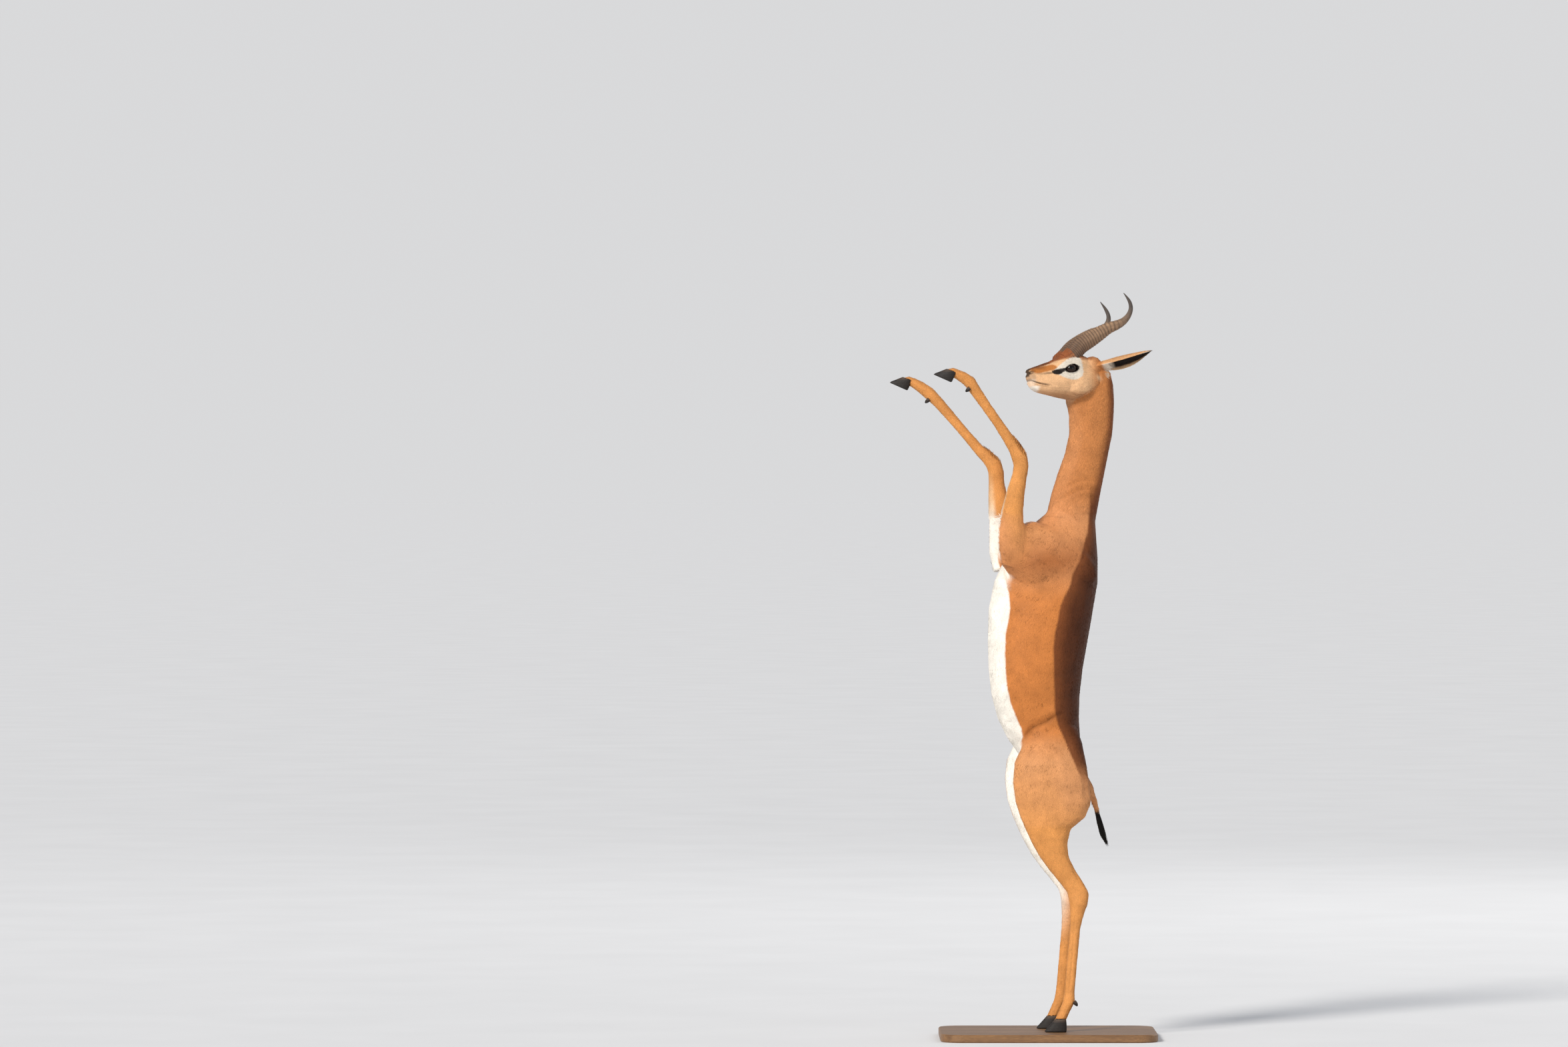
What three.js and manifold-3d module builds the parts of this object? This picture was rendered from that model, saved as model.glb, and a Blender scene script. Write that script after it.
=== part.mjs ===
// A male gerenuk, life size, reared up on its hind legs to browse, on a flat base that keeps it upright.
// Millimetres, +Z up. The animal faces -X, with its left side towards -Y. The trunk's plane of symmetry is XZ.
// Heights are measured from the soles of the hind hooves, and X from a plumb line through the trunk.
// At the end everything is moved so that the origin is the middle of the model's footprint, at the floor.
import * as THREE from "three";
import Module from "manifold-3d";

const wasm = await Module();
wasm.setup();

// Driving dimensions
const CUT = 0.3; // the gap left between two pieces that meet
const BASE = { length: 600, width: 420, thickness: 22, corner: 60, bevel: 3, x: -10 };
const SIDES = { trunk: 24, neck: 20, head: 28, leg: 12, horn: 10, ear: 12, tail: 8, eye: 14 };

const V = (x, y, z) => new THREE.Vector3(x, y, z);
const LEFT = -1;
const RIGHT = 1;
const FORWARD = V(-1, 0, 0);
const OUTWARD = V(0, 1, 0);
const UP = V(0, 0, 1);

// Solids

// Only the positions of a geometry, with the corners that coincide made one.
function indexed(geometry) {
  const source = geometry.index ? geometry.toNonIndexed() : geometry;
  const position = source.getAttribute("position");
  const known = new Map();
  const points = [];
  const index = [];
  for (let i = 0; i < position.count; i++) {
    const p = [position.getX(i), position.getY(i), position.getZ(i)];
    const key = p.map((c) => Math.round(c * 1e3)).join(",");
    if (!known.has(key)) {
      known.set(key, points.length / 3);
      points.push(...p);
    }
    index.push(known.get(key));
  }
  const faces = [];
  for (let i = 0; i < index.length; i += 3) {
    const [a, b, c] = index.slice(i, i + 3);
    if (a !== b && b !== c && c !== a) faces.push(a, b, c);
  }
  const made = new THREE.BufferGeometry();
  made.setAttribute("position", new THREE.Float32BufferAttribute(points, 3));
  made.setIndex(faces);
  return made;
}

// A three.js geometry as a manifold solid.
function solid(geometry) {
  const merged = indexed(geometry);
  return new wasm.Manifold(
    new wasm.Mesh({
      numProp: 3,
      vertProperties: merged.getAttribute("position").array,
      triVerts: new Uint32Array(merged.index.array),
    }),
  );
}

// A manifold solid as a three.js geometry.
function geometryOf(manifold) {
  const mesh = manifold.getMesh();
  const points = new Float32Array(mesh.numVert * 3);
  for (let i = 0; i < mesh.numVert; i++) {
    const from = i * mesh.numProp;
    points.set(mesh.vertProperties.subarray(from, from + 3), i * 3);
  }
  const made = new THREE.BufferGeometry();
  made.setAttribute("position", new THREE.BufferAttribute(points, 3));
  made.setIndex(new THREE.BufferAttribute(new Uint32Array(mesh.triVerts), 1));
  made.computeVertexNormals();
  return made;
}

const union = (list) => list.reduce((all, one) => all.add(one));

// The largest closed surface of a solid, without loose scraps.
const largest = (manifold) => manifold.decompose().reduce((a, b) => (a.volume() > b.volume() ? a : b));

// An ellipsoid with its own three axes.
function ellipsoid(at, axes, radii, sides = 14) {
  const geometry = new THREE.SphereGeometry(1, sides, Math.round(sides * 0.6));
  const matrix = new THREE.Matrix4().makeBasis(
    axes[0].clone().multiplyScalar(radii[0]),
    axes[1].clone().multiplyScalar(radii[1]),
    axes[2].clone().multiplyScalar(radii[2]),
  );
  return outwards(indexed(geometry.applyMatrix4(matrix).translate(at.x, at.y, at.z)));
}

const ball = (at, radius, sides) => ellipsoid(at, [V(1, 0, 0), V(0, 1, 0), UP], Array(3).fill(radius), sides);

// A muscle: an ellipsoid whose long axis lies in the side view, at an angle above the animal's back direction.
function muscle(x, y, z, degrees, [long, short, thick], sides) {
  const a = THREE.MathUtils.degToRad(degrees);
  const axes = [V(Math.cos(a), 0, Math.sin(a)), V(-Math.sin(a), 0, Math.cos(a)), V(0, -1, 0)];
  return ellipsoid(V(x, y, z), axes, [long, short, thick], sides);
}

// A solid whose faces are turned so that its surface looks outwards.
function outwards(geometry) {
  const made = solid(geometry);
  if (made.volume() > 0) return made;
  const faces = Array.from(geometry.index.array).reverse();
  return solid(geometry.clone().setIndex(faces));
}

// A thin square sheet that parts two pieces: its middle, the way it faces, half its size, and a turn in its plane.
function sheet(at, facing, half, spin = 0) {
  const geometry = new THREE.BoxGeometry(2 * half, 2 * half, CUT).rotateZ(THREE.MathUtils.degToRad(spin));
  const turn = new THREE.Quaternion().setFromUnitVectors(UP, facing.clone().normalize());
  return solid(geometry.applyQuaternion(turn).translate(at.x, at.y, at.z));
}

// Tubes of changing section

// A value between the rows of a table, on a smooth curve through them.
function between(rows, t) {
  const i = Math.min(Math.floor(t), rows.length - 2);
  const f = t - i;
  const [a, b, c, d] = [i - 1, i, i + 1, i + 2].map((k) => rows[Math.max(0, Math.min(rows.length - 1, k))]);
  const [f2, f3] = [f * f, f * f * f];
  return b.map(
    (_, k) =>
      (2 * f3 - 3 * f2 + 1) * b[k] +
      ((f3 - 2 * f2 + f) * (c[k] - a[k])) / 2 +
      (3 * f2 - 2 * f3) * c[k] +
      ((f3 - f2) * (d[k] - b[k])) / 2,
  );
}

const resample = (rows, steps) =>
  Array.from({ length: (rows.length - 1) * steps + 1 }, (_, i) => between(rows, i / steps));

// Rings of points joined into one closed surface, as a tube with closed ends or as a loop.
function skinOver(rings, loop = false) {
  const sides = rings[0].length;
  const points = rings.flat();
  const faces = [];
  for (let r = 0; r + (loop ? 0 : 1) < rings.length; r++) {
    const next = ((r + 1) % rings.length) * sides;
    for (let s = 0; s < sides; s++) {
      const t = (s + 1) % sides;
      faces.push(r * sides + s, r * sides + t, next + t, r * sides + s, next + t, next + s);
    }
  }
  if (!loop) {
    const middle = (ring) => ring.reduce((sum, p) => sum.add(p), V(0, 0, 0)).divideScalar(sides);
    points.push(middle(rings[0]), middle(rings.at(-1)));
    const last = (rings.length - 1) * sides;
    for (let s = 0; s < sides; s++) {
      const t = (s + 1) % sides;
      faces.push(t, s, points.length - 2, last + s, last + t, points.length - 1);
    }
  }
  const geometry = new THREE.BufferGeometry().setFromPoints(points);
  geometry.setIndex(faces);
  return outwards(geometry);
}

// The directions square to a path at one of its points: the axis, the front and the side.
function frameAt(points, i, front, loop = false) {
  const n = points.length;
  const before = points[loop ? (i + n - 1) % n : Math.max(0, i - 1)];
  const after = points[loop ? (i + 1) % n : Math.min(n - 1, i + 1)];
  const axis = after.clone().sub(before).normalize();
  const ahead = front.clone().addScaledVector(axis, -front.dot(axis)).normalize();
  return { axis, ahead, aside: V(0, 0, 0).crossVectors(axis, ahead) };
}

// A tube whose rows say, at each station: the middle (x, y, z), how far it reaches to the front and the back,
// its half width, and how much wider (+) or narrower (-) it is in front than behind.
// Level rings lie flat, as slices of the upright body. The others stand square to the tube.
function tube(rows, { sides, steps = 2, level = true, front = FORWARD, power = 2.2 }) {
  const stations = resample(rows, steps);
  const path = stations.map((row) => V(...row.slice(0, 3)));
  const rings = stations.map((row, i) => {
    const [reach, back, half, egg = 0] = row.slice(3);
    const { ahead, aside } = level ? { ahead: FORWARD, aside: OUTWARD } : frameAt(path, i, front);
    return Array.from({ length: sides }, (_, s) => {
      const angle = (2 * Math.PI * (s + 0.5)) / sides;
      const [c, w] = [Math.cos(angle), Math.sin(angle)];
      const bulge = (v) => Math.sign(v) * Math.abs(v) ** (2 / power);
      return path[i]
        .clone()
        .addScaledVector(ahead, bulge(c) * (c > 0 ? reach : back))
        .addScaledVector(aside, bulge(w) * half * (1 + egg * c));
    });
  });
  return skinOver(rings);
}

// A bar of round or oval section along a list of points, each with its radius.
function bar(points, radii, { sides = 6, front = UP, loop = false, flat = 1 } = {}) {
  const rings = points.map((p, i) => {
    const { ahead, aside } = frameAt(points, i, front, loop);
    return Array.from({ length: sides }, (_, s) => {
      const a = (2 * Math.PI * s) / sides;
      return p
        .clone()
        .addScaledVector(ahead, Math.cos(a) * radii[i] * flat)
        .addScaledVector(aside, Math.sin(a) * radii[i]);
    });
  });
  return skinOver(rings, loop);
}

// Rows for a level tube, from the front and back edges that show in profile.
const slices = (rows) =>
  rows.map(([z, front, back, y, half, egg = 0]) => [
    (front + back) / 2, y, z, (back - front) / 2, (back - front) / 2, half, egg,
  ]);

// Trunk, from the root of the neck down to the buttocks:
// height, breast or belly edge, back edge, y, half width, wider (+) or narrower (-) in front
const TRUNK = slices([
  [1446, -2, 118, 0, 40],
  [1408, -46, 124, 0, 64, -0.05],
  [1362, -92, 127, 0, 80, -0.12],
  [1305, -132, 131, 0, 90, -0.18],
  [1246, -160, 131, 0, 98, -0.16],
  [1170, -176, 119, 0, 106, -0.1],
  [1085, -179, 104, 0, 113, -0.02],
  [1005, -177, 90, 0, 116, 0.04],
  [930, -169, 81, 0, 112, 0.06],
  [866, -152, 79, 0, 102, 0.04],
  [812, -126, 82, 0, 92],
  [764, -92, 88, 0, 86, -0.04],
  [715, -66, 97, 0, 80, -0.06],
  [665, -36, 104, 0, 70, -0.04],
  [625, 4, 104, 0, 52],
  [598, 34, 88, 0, 26],
]);

// Neck, from inside the trunk up to the back of the head
const NECK = slices([
  [1350, -30, 118, 0, 60, -0.1],
  [1400, -28, 122, 0, 60, -0.1],
  [1436, -14, 128, -1, 58, -0.1],
  [1486, -2, 137, -3, 54, -0.08],
  [1541, 15, 148, -5, 50, -0.06],
  [1597, 35, 159, -7, 47, -0.04],
  [1652, 47, 170, -9, 45, -0.04],
  [1704, 46, 174, -11, 44, -0.02],
  [1738, 39, 175, -12, 43],
  [1768, 37, 174, -13, 42],
  [1796, 46, 171, -14, 39],
  [1822, 68, 163, -14, 31],
  [1836, 92, 149, -14, 15],
]);

const trunk = tube(TRUNK, { sides: SIDES.trunk, steps: 1 });
const neck = tube(NECK, { sides: SIDES.neck, steps: 1 });

// Shoulders: the blade with its muscle, the upper arm behind the elbow, and the point of the shoulder.
const shoulder = (side) => [
  muscle(26, side * 65, 1318, -38, [122, 56, 34], 14),
  muscle(-44, side * 69, 1290, -19, [104, 66, 41], 14),
  muscle(-56, side * 57, 1372, 20, [44, 40, 40], 12),
];

// Forelegs, reaching up and forwards, from inside the elbow to the coronet:
// middle of the bone, then how far the leg reaches on its front side, on its back side and sideways
const FORELEG = {
  [LEFT]: [
    [-104, -80, 1290, 34, 38, 28],
    [-110, -85, 1342, 42, 42, 32],
    [-113, -88, 1390, 38, 38, 29],
    [-110, -89, 1440, 31, 32, 25],
    [-101, -90, 1490, 26, 27, 22],
    [-91, -90, 1535, 22, 22, 19],
    [-87, -90, 1564, 23, 21, 20.5],
    [-92, -91, 1587, 24, 22, 21],
    [-104, -93, 1610, 20, 18, 18],
    [-124, -97, 1642, 16, 15.5, 14.5],
    [-152, -106, 1684, 14, 14, 12.5],
    [-184, -116, 1730, 14, 15, 12],
    [-210, -124, 1768, 15, 17, 13.5],
    [-228, -130, 1795, 17, 19, 17],
    [-246, -134, 1808, 15, 17, 17],
    [-263, -137, 1816, 13.5, 14, 17],
    [-276, -140, 1821, 13, 13.5, 18.5],
    [-288, -142, 1822, 9, 10, 15],
  ],
  [RIGHT]: [
    [-120, 78, 1272, 34, 42, 28],
    [-127, 84, 1330, 42, 47, 32],
    [-134, 86, 1385, 38, 39, 29],
    [-142, 87, 1440, 31, 32, 25],
    [-147, 88, 1484, 27, 27, 22],
    [-150, 89, 1520, 23, 23, 19],
    [-152, 89, 1545, 24, 22, 20.5],
    [-158, 90, 1567, 24, 22, 21],
    [-174, 91, 1584, 20, 18, 18],
    [-199, 92, 1609, 16, 15.5, 14.5],
    [-232, 94, 1648, 14, 14, 12.5],
    [-273, 96, 1697, 14, 15, 12],
    [-311, 98, 1741, 15, 17, 13.5],
    [-336, 99, 1766, 17, 19, 17],
    [-360, 100, 1784, 15, 17, 17],
    [-380, 101, 1795, 13.5, 14, 17],
    [-394, 102, 1800, 13, 13.5, 18.5],
    [-406, 102, 1802, 9, 10, 15],
  ],
};
const FORELEG_FRONT = V(0.85, 0, 0.5);
const foreleg = (side) =>
  tube(FORELEG[side], { sides: SIDES.leg, steps: 1, level: false, front: FORELEG_FRONT });

// Hind legs, from the hip down to the coronet: height, front edge, back edge, y, half width
const HINDLEG = [
  [846, -40, 66, 60, 30],
  [800, -86, 82, 68, 44],
  [745, -112, 94, 75, 50],
  [690, -117, 103, 78, 51],
  [635, -110, 108, 79, 47],
  [594, -96, 92, 79, 42],
  [560, -80, 50, 78, 37],
  [520, -61, 40, 77, 32],
  [483, -40, 44, 76, 27],
  [450, -16, 60, 75, 22],
  [416, 12, 82, 74, 19],
  [385, 36, 99, 73, 20],
  [357, 42, 97, 73, 23],
  [326, 44, 86, 73, 20],
  [286, 44, 75, 73, 15],
  [190, 36, 66, 74, 13],
  [110, 29, 59, 75, 14],
  [82, 24, 60, 75, 18],
  [58, 14, 47, 75, 17.5],
  [36, 4, 37, 75, 19],
  [30, 8, 34, 75, 15],
];
const STEP_APART = { [LEFT]: 4, [RIGHT]: -14 }; // how far back each hind leg stands
const hindleg = (side) =>
  tube(
    slices(HINDLEG.map(([z, front, back, y, half]) => {
      const shift = STEP_APART[side];
      return [z, front + shift, back + shift, side * y, half];
    })),
    { sides: SIDES.leg, steps: 1 },
  );

// Hooves. Each foot has two toes. One toe stands on its sole, with the coronet's middle over the origin:
// height, toe tip, heel, y, half width, narrower in front
const TOE = [
  [-36, -44, 18, 0, 10.4, -0.35],
  [-30, -40, 18.6, 0, 10.8, -0.32],
  [-16, -27, 18.6, 0, 10.4, -0.2],
  [-CUT, -13, 17, 0, 9.6, -0.1],
];

// One toe, with its sole turned up by an angle from the level and its own length and height. Grown a little,
// it is also the room that the foot leaves for it.
function toe(coronet, side, degrees, [long, high], grow) {
  const rows = slices(
    TOE.map(([z, front, back, , half, egg], i) => {
      const up = i === TOE.length - 1 ? 2 * grow : i === 0 ? -grow : 0;
      return [z + up, front - grow, back + grow, side * 11.4, half + grow, egg];
    }),
  );
  const geometry = geometryOf(tube(rows, { sides: 14, steps: 1, power: 2.1 }));
  geometry.scale(long, 1, high);
  geometry.rotateY(THREE.MathUtils.degToRad(degrees));
  return outwards(indexed(geometry.translate(coronet.x, coronet.y, coronet.z)));
}

// Both toes of a foot, the outer one first.
const hindToes = (side, grow = 0) =>
  [side, -side].map((where) => {
    const coronet = V(18 + STEP_APART[side], side * 75, 36);
    return toe(coronet, where, 0, [1, 1], grow);
  });
const foreToes = (side, grow = 0) =>
  [side, -side].map((where) => {
    const coronet = V(...FORELEG[side].at(-1)).add(V(6, 0, 5));
    return toe(coronet, where, 24, [0.9, 0.82], grow);
  });

// A dewclaw: a small blunt horn behind the fetlock.
function dewclaw(at, direction, grow) {
  const from = at.clone().addScaledVector(direction, -2 * grow);
  const points = [from, at.clone().addScaledVector(direction, 9), at.clone().addScaledVector(direction, 15 + grow)];
  return bar(points, [6, 5.4, 2].map((r) => r + grow), { sides: 8, front: OUTWARD });
}
const hindDewclaws = (side, grow = 0) =>
  [side, -side].map((where) => {
    const at = V(57 + STEP_APART[side], side * 75 + where * 9, 84);
    return dewclaw(at, V(0.6, 0, -0.8), grow);
  });
const foreDewclaws = (side, grow = 0) =>
  [side, -side].map((where) => {
    const at = V(...FORELEG[side][13].slice(0, 3)).add(V(-1, where * 9, -17));
    return dewclaw(at, V(-0.75, 0, -0.66), grow);
  });

// Tail, hanging from its root, and the black tuft at its end
const TAIL = [
  [92, 0, 702, 13, 13, 13],
  [104, 0, 680, 13, 13, 13],
  [112, 0, 658, 11, 11.5, 11.5],
  [119, 0, 636, 9, 9.5, 10],
  [125, 0, 612, 8, 8.5, 9],
  [130, 0, 588, 7, 7.5, 8],
  [133, 0, 562, 6, 6.5, 7],
];
const tail = tube(TAIL, { sides: SIDES.tail, steps: 1, level: false });

// Head

// The head's own frame: the point between the eyes, the way the muzzle points, and the animal's right.
const YAW = THREE.MathUtils.degToRad(25);
const ROLL = THREE.MathUtils.degToRad(9);
const HEAD = { between: V(35.4, -46, 1826), muzzle: V(-Math.cos(YAW), -Math.sin(YAW), 0.04).normalize() };
HEAD.right = V(-Math.sin(YAW) * Math.cos(ROLL), Math.cos(YAW) * Math.cos(ROLL), -Math.sin(ROLL));
HEAD.crown = V(0, 0, 0).crossVectors(HEAD.right, HEAD.muzzle).normalize();
HEAD.right = V(0, 0, 0).crossVectors(HEAD.muzzle, HEAD.crown).normalize();
const HEAD_AXES = [HEAD.muzzle, HEAD.right, HEAD.crown];

// A direction and a point given as millimetres ahead, to the animal's right, and up.
const turned = (ahead, right, up) =>
  V(0, 0, 0)
    .addScaledVector(HEAD.muzzle, ahead)
    .addScaledVector(HEAD.right, right)
    .addScaledVector(HEAD.crown, up);
const inHead = (ahead, right, up) => turned(ahead, right, up).add(HEAD.between);

// Slices of the head square to the muzzle, from the nose back: ahead of the eyes, top, then half width and
// height of the bridge or brow, of the widest part, of the lip line or cheek, and of the jaw, then the bottom.
const HEAD_SLICES = [
  [119, -4, 4, -5, 7, -11, 6, -17, 3, -20, -21],
  [116, 0, 9, -3, 14, -14, 12, -25, 7, -31, -33],
  [109, 3, 12, -2, 18, -18, 18, -35, 11, -47, -50],
  [98, 7, 12.5, 3, 20, -19, 22, -41, 14, -56, -60],
  [84, 12, 12.5, 8, 22, -16, 24, -43, 16, -60, -65],
  [66, 19, 13.5, 14, 25, -13, 28, -45, 17, -62, -69],
  [50, 24, 17, 20, 29, -9, 33, -46, 19, -64, -72],
  [33, 33, 23, 28, 37, -2, 38, -46, 21, -67, -75],
  [17, 42, 30, 36, 44, 2, 42, -46, 23, -70, -77],
  [0, 48, 35, 40, 47, 5, 45, -44, 25, -72, -79],
  [-20, 50, 36, 40, 47, 6, 46, -42, 27, -74, -81],
  [-45, 46, 33, 37, 46, 4, 46, -42, 28, -74, -80],
  [-70, 36, 28, 28, 43, -4, 44, -42, 27, -68, -74],
  [-92, 20, 22, 12, 37, -14, 38, -40, 22, -56, -62],
  [-106, 2, 12, -4, 22, -20, 22, -36, 12, -44, -47],
];

function skull() {
  const rings = resample(HEAD_SLICES, 2).map(([ahead, top, ...rest]) => {
    const half = [0, 2, 4, 6].map((k) => [rest[k], rest[k + 1]]);
    const bottom = rest[8];
    const outline = [[0, top], ...half, [0, bottom], ...half.map(([w, h]) => [-w, h]).reverse()];
    const curve = new THREE.CatmullRomCurve3(outline.map(([w, h]) => V(w, h, 0)), true);
    const spaced = curve.getSpacedPoints(SIDES.head).slice(0, SIDES.head);
    return spaced.map((p) => inHead(ahead, p.x, p.y));
  });
  return skinOver(rings);
}

// The lip line, from the left corner of the mouth round the nose to the right corner, pushed out and up.
const MOUTH = { corner: 62, front: 113 };
function lipLine(out, up) {
  const rows = resample(HEAD_SLICES.slice(1, 7), 2);
  const inside = rows.filter(([ahead]) => ahead > MOUTH.corner && ahead < MOUTH.front - 1);
  const half = inside.map((row) => [row[0], row[6], row[7]]);
  const path = [
    ...[...half].reverse().map(([a, w, h]) => [a, -w, h]),
    [MOUTH.front, -8, -33],
    [MOUTH.front + 1, 0, -32.5],
    [MOUTH.front, 8, -33],
    ...half,
  ];
  return path.map(([a, w, h]) => {
    const away = V(a - Math.min(a, 90), w, 0).normalize();
    return inHead(a + away.x * out, w + away.y * out, h + up);
  });
}

// A wedge that cuts the line of the mouth between the lips.
function mouthCut() {
  const [above, below, inner] = [lipLine(4, 1.5), lipLine(4, -1.5), lipLine(-6, 0)];
  return skinOver(above.map((p, i) => [p, below[i], inner[i]]));
}

const lip = (up, radius) => {
  const path = lipLine(-radius * 0.4, up);
  return bar(path, path.map((_, i) => (i % (path.length - 1) ? radius : radius * 0.6)));
};

// A nostril: a slit that curls round the side of the nose.
const NOSTRIL = [
  [121, 3.5, -12, 2.2],
  [116.5, 10, -13, 2.8],
  [110, 16.5, -10, 2.5],
  [103, 20.5, -5, 1.5],
];
const nostril = (side) => {
  const points = NOSTRIL.map(([a, w, h]) => inHead(a, side * w, h));
  return bar(points, NOSTRIL.map((row) => row[3]), { sides: 8 });
};

// Eyes and their lids
const EYE = { radius: 18, ahead: 0, right: 33.5, up: 0 };
const LID = { long: 20, high: 11.5, thick: 3.2, tilt: 0.16 };
const eyeMiddle = (side) => inHead(EYE.ahead, side * EYE.right, EYE.up);

// The almond line of the lids round one eye, at a scale, on the ball or straight out from it.
function almond(side, scale, out) {
  return Array.from({ length: 16 }, (_, i) => {
    const a = (2 * Math.PI * i) / 16;
    const ahead = LID.long * scale * Math.cos(a);
    const up = LID.high * scale * Math.sin(a) - LID.tilt * ahead;
    const flat = (ahead / 1.2) ** 2 + up ** 2;
    const away = out ?? Math.sqrt(Math.max(20, (EYE.radius + 0.4) ** 2 - flat));
    return inHead(EYE.ahead + ahead, side * (EYE.right + away), EYE.up + up);
  });
}

const lids = (side) => {
  const points = almond(side, 1);
  return bar(points, points.map(() => LID.thick), { front: turned(0, side, 0), loop: true });
};
const eyeOpening = (side) => skinOver([almond(side, 0.86, 4), almond(side, 0.9, 34)]);

// What stands out on each side of the head: the muscle of the jaw, the base of the ear and the lids.
const headSide = (side) => [
  ellipsoid(inHead(-30, side * 32, -39), HEAD_AXES, [48, 16, 34], 14),
  ellipsoid(inHead(-74, side * 26, 13), HEAD_AXES, [31, 17, 28], 12),
  lids(side),
];

// Horns: from the collar, back and outwards, then up, with the tips hooked forwards.
// Ahead, to the side, up, radius
const HORN = [
  [10, 22, 26, 21],
  [-15, 24, 45, 23],
  [-38, 27, 68, 23],
  [-65, 32, 86, 22.5],
  [-92, 38, 103, 20],
  [-117, 46, 118, 16],
  [-140, 53, 127, 13],
  [-159, 59, 138, 10],
  [-173, 64, 155, 7.5],
  [-178, 68, 174, 6],
  [-172, 71, 193, 4.6],
  [-156, 71, 214, 1],
];
const HORN_START = 0.85; // the row where the horn comes out of its collar
const HORN_FLAT = 0.84; // how much narrower it is from side to side
const RINGS = 19; // ridges, from the collar towards the tip
const RINGED = 8.3; // the row where the ridges end

function hornPath(side, from, to, steps) {
  const rows = Array.from({ length: steps + 1 }, (_, i) => between(HORN, from + ((to - from) * i) / steps));
  return {
    points: rows.map(([a, w, h]) => inHead(a, side * w, h)),
    radii: rows.map((row) => row[3]),
  };
}

// One horn. Grown a little and set back, it is also the socket that the head leaves for it.
function horn(side, grow = 0) {
  const last = HORN.length - 1;
  const ridged = hornPath(side, HORN_START, RINGED, RINGS * 2);
  const smooth = hornPath(side, RINGED + 0.25, last, 6);
  const radii = ridged.radii.map((r, i) => r * (i % 2 ? 1.04 : 0.96));
  const points = [...ridged.points, ...smooth.points];
  const all = [...radii, ...smooth.radii].map((r) => r + grow);
  points[0].addScaledVector(points[1].clone().sub(points[0]).normalize(), -grow);
  return bar(points, all, { sides: SIDES.horn, front: turned(0, side, 0), flat: HORN_FLAT });
}

const collar = (side) => {
  const { points, radii } = hornPath(side, 0, HORN_START + 0.05, 3);
  return bar(points, radii.map((r) => r + 1.5), { sides: 14, front: turned(0, side, 0), flat: HORN_FLAT });
};

// Ears: long leaves, hollow on the side that faces out and down.
// Its root, the way it points and the way it opens, in the head's frame.
const EAR = { root: [-89, 34, 6], way: [-0.767, 0.588, 0.257], open: [0.208, 0.381, -0.9] };
// Along the ear, half width, depth of the leaf behind its rims, and how far the rims sag towards the opening
const EAR_ROWS = [
  [-16, 15, 17, 0],
  [14, 17, 21, 3],
  [32, 20, 24, 8],
  [56, 23, 26, 12],
  [84, 22, 24, 13],
  [110, 17, 18, 10],
  [132, 10, 11, 5],
  [147, 4.5, 5, 2],
  [155, 1, 1, 0],
];
const EAR_WALL = 3;

function earFrame(side) {
  const mirrored = ([a, w, u]) => turned(a, side * w, u);
  const root = mirrored(EAR.root).add(HEAD.between);
  const axis = mirrored(EAR.way).normalize();
  const open = mirrored(EAR.open);
  const out = open.addScaledVector(axis, -open.dot(axis)).normalize();
  return { root, axis, out, wide: V(0, 0, 0).crossVectors(axis, out) };
}

function ear(side) {
  const { root, axis, out, wide } = earFrame(side);
  const ring = ([along, half, depth, sag], inner) => {
    const wall = inner ? EAR_WALL : 0;
    return Array.from({ length: SIDES.ear }, (_, s) => {
      const a = (2 * Math.PI * (s + 0.5)) / SIDES.ear;
      const [c, w] = [Math.cos(a), Math.sin(a)];
      const rim = inner ? 14 : 2;
      return root.clone()
        .addScaledVector(axis, along)
        .addScaledVector(wide, w * (half - wall))
        .addScaledVector(out, sag + (c > 0 ? c * rim : c * (depth - wall)));
    });
  };
  const leaf = skinOver(resample(EAR_ROWS, 2).map((row) => ring(row, false)));
  const hollow = resample(EAR_ROWS, 2).filter(([along, half]) => along > 31 && half > EAR_WALL + 1.2);
  return leaf.subtract(skinOver(hollow.map((row) => ring(row, true))));
}

// A point inside the wall of the ear, behind the hollow.
function earInside(side) {
  const { root, axis, out } = earFrame(side);
  return root.clone().addScaledVector(axis, 84).addScaledVector(out, 13 - 24 + EAR_WALL / 2);
}

// The whole body as one solid, then parted by thin sheets
const head = union([skull(), ...headSide(LEFT), ...headSide(RIGHT), collar(LEFT), collar(RIGHT)])
  .add(lip(2.6, 3.4))
  .add(lip(-2.8, 3.2));
const whole = union([
  trunk,
  neck,
  head,
  tail,
  ...shoulder(LEFT),
  ...shoulder(RIGHT),
  foreleg(LEFT),
  foreleg(RIGHT),
  hindleg(LEFT),
  hindleg(RIGHT),
  ear(LEFT),
  ear(RIGHT),
]);

// Hollows: the mouth, the nostrils and the sockets of the eyes
const hollowed = [
  mouthCut(),
  nostril(LEFT),
  nostril(RIGHT),
  eyeOpening(LEFT),
  eyeOpening(RIGHT),
  horn(LEFT, CUT),
  horn(RIGHT, CUT),
  ...[LEFT, RIGHT].flatMap((side) => [...hindToes(side, CUT), ...foreToes(side, CUT)]),
  ...[LEFT, RIGHT].flatMap((side) => [...hindDewclaws(side, CUT), ...foreDewclaws(side, CUT)]),
  ball(eyeMiddle(LEFT), EYE.radius + CUT, SIDES.eye),
  ball(eyeMiddle(RIGHT), EYE.radius + CUT, SIDES.eye),
].reduce((body, hollow) => body.subtract(hollow), whole);

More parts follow.
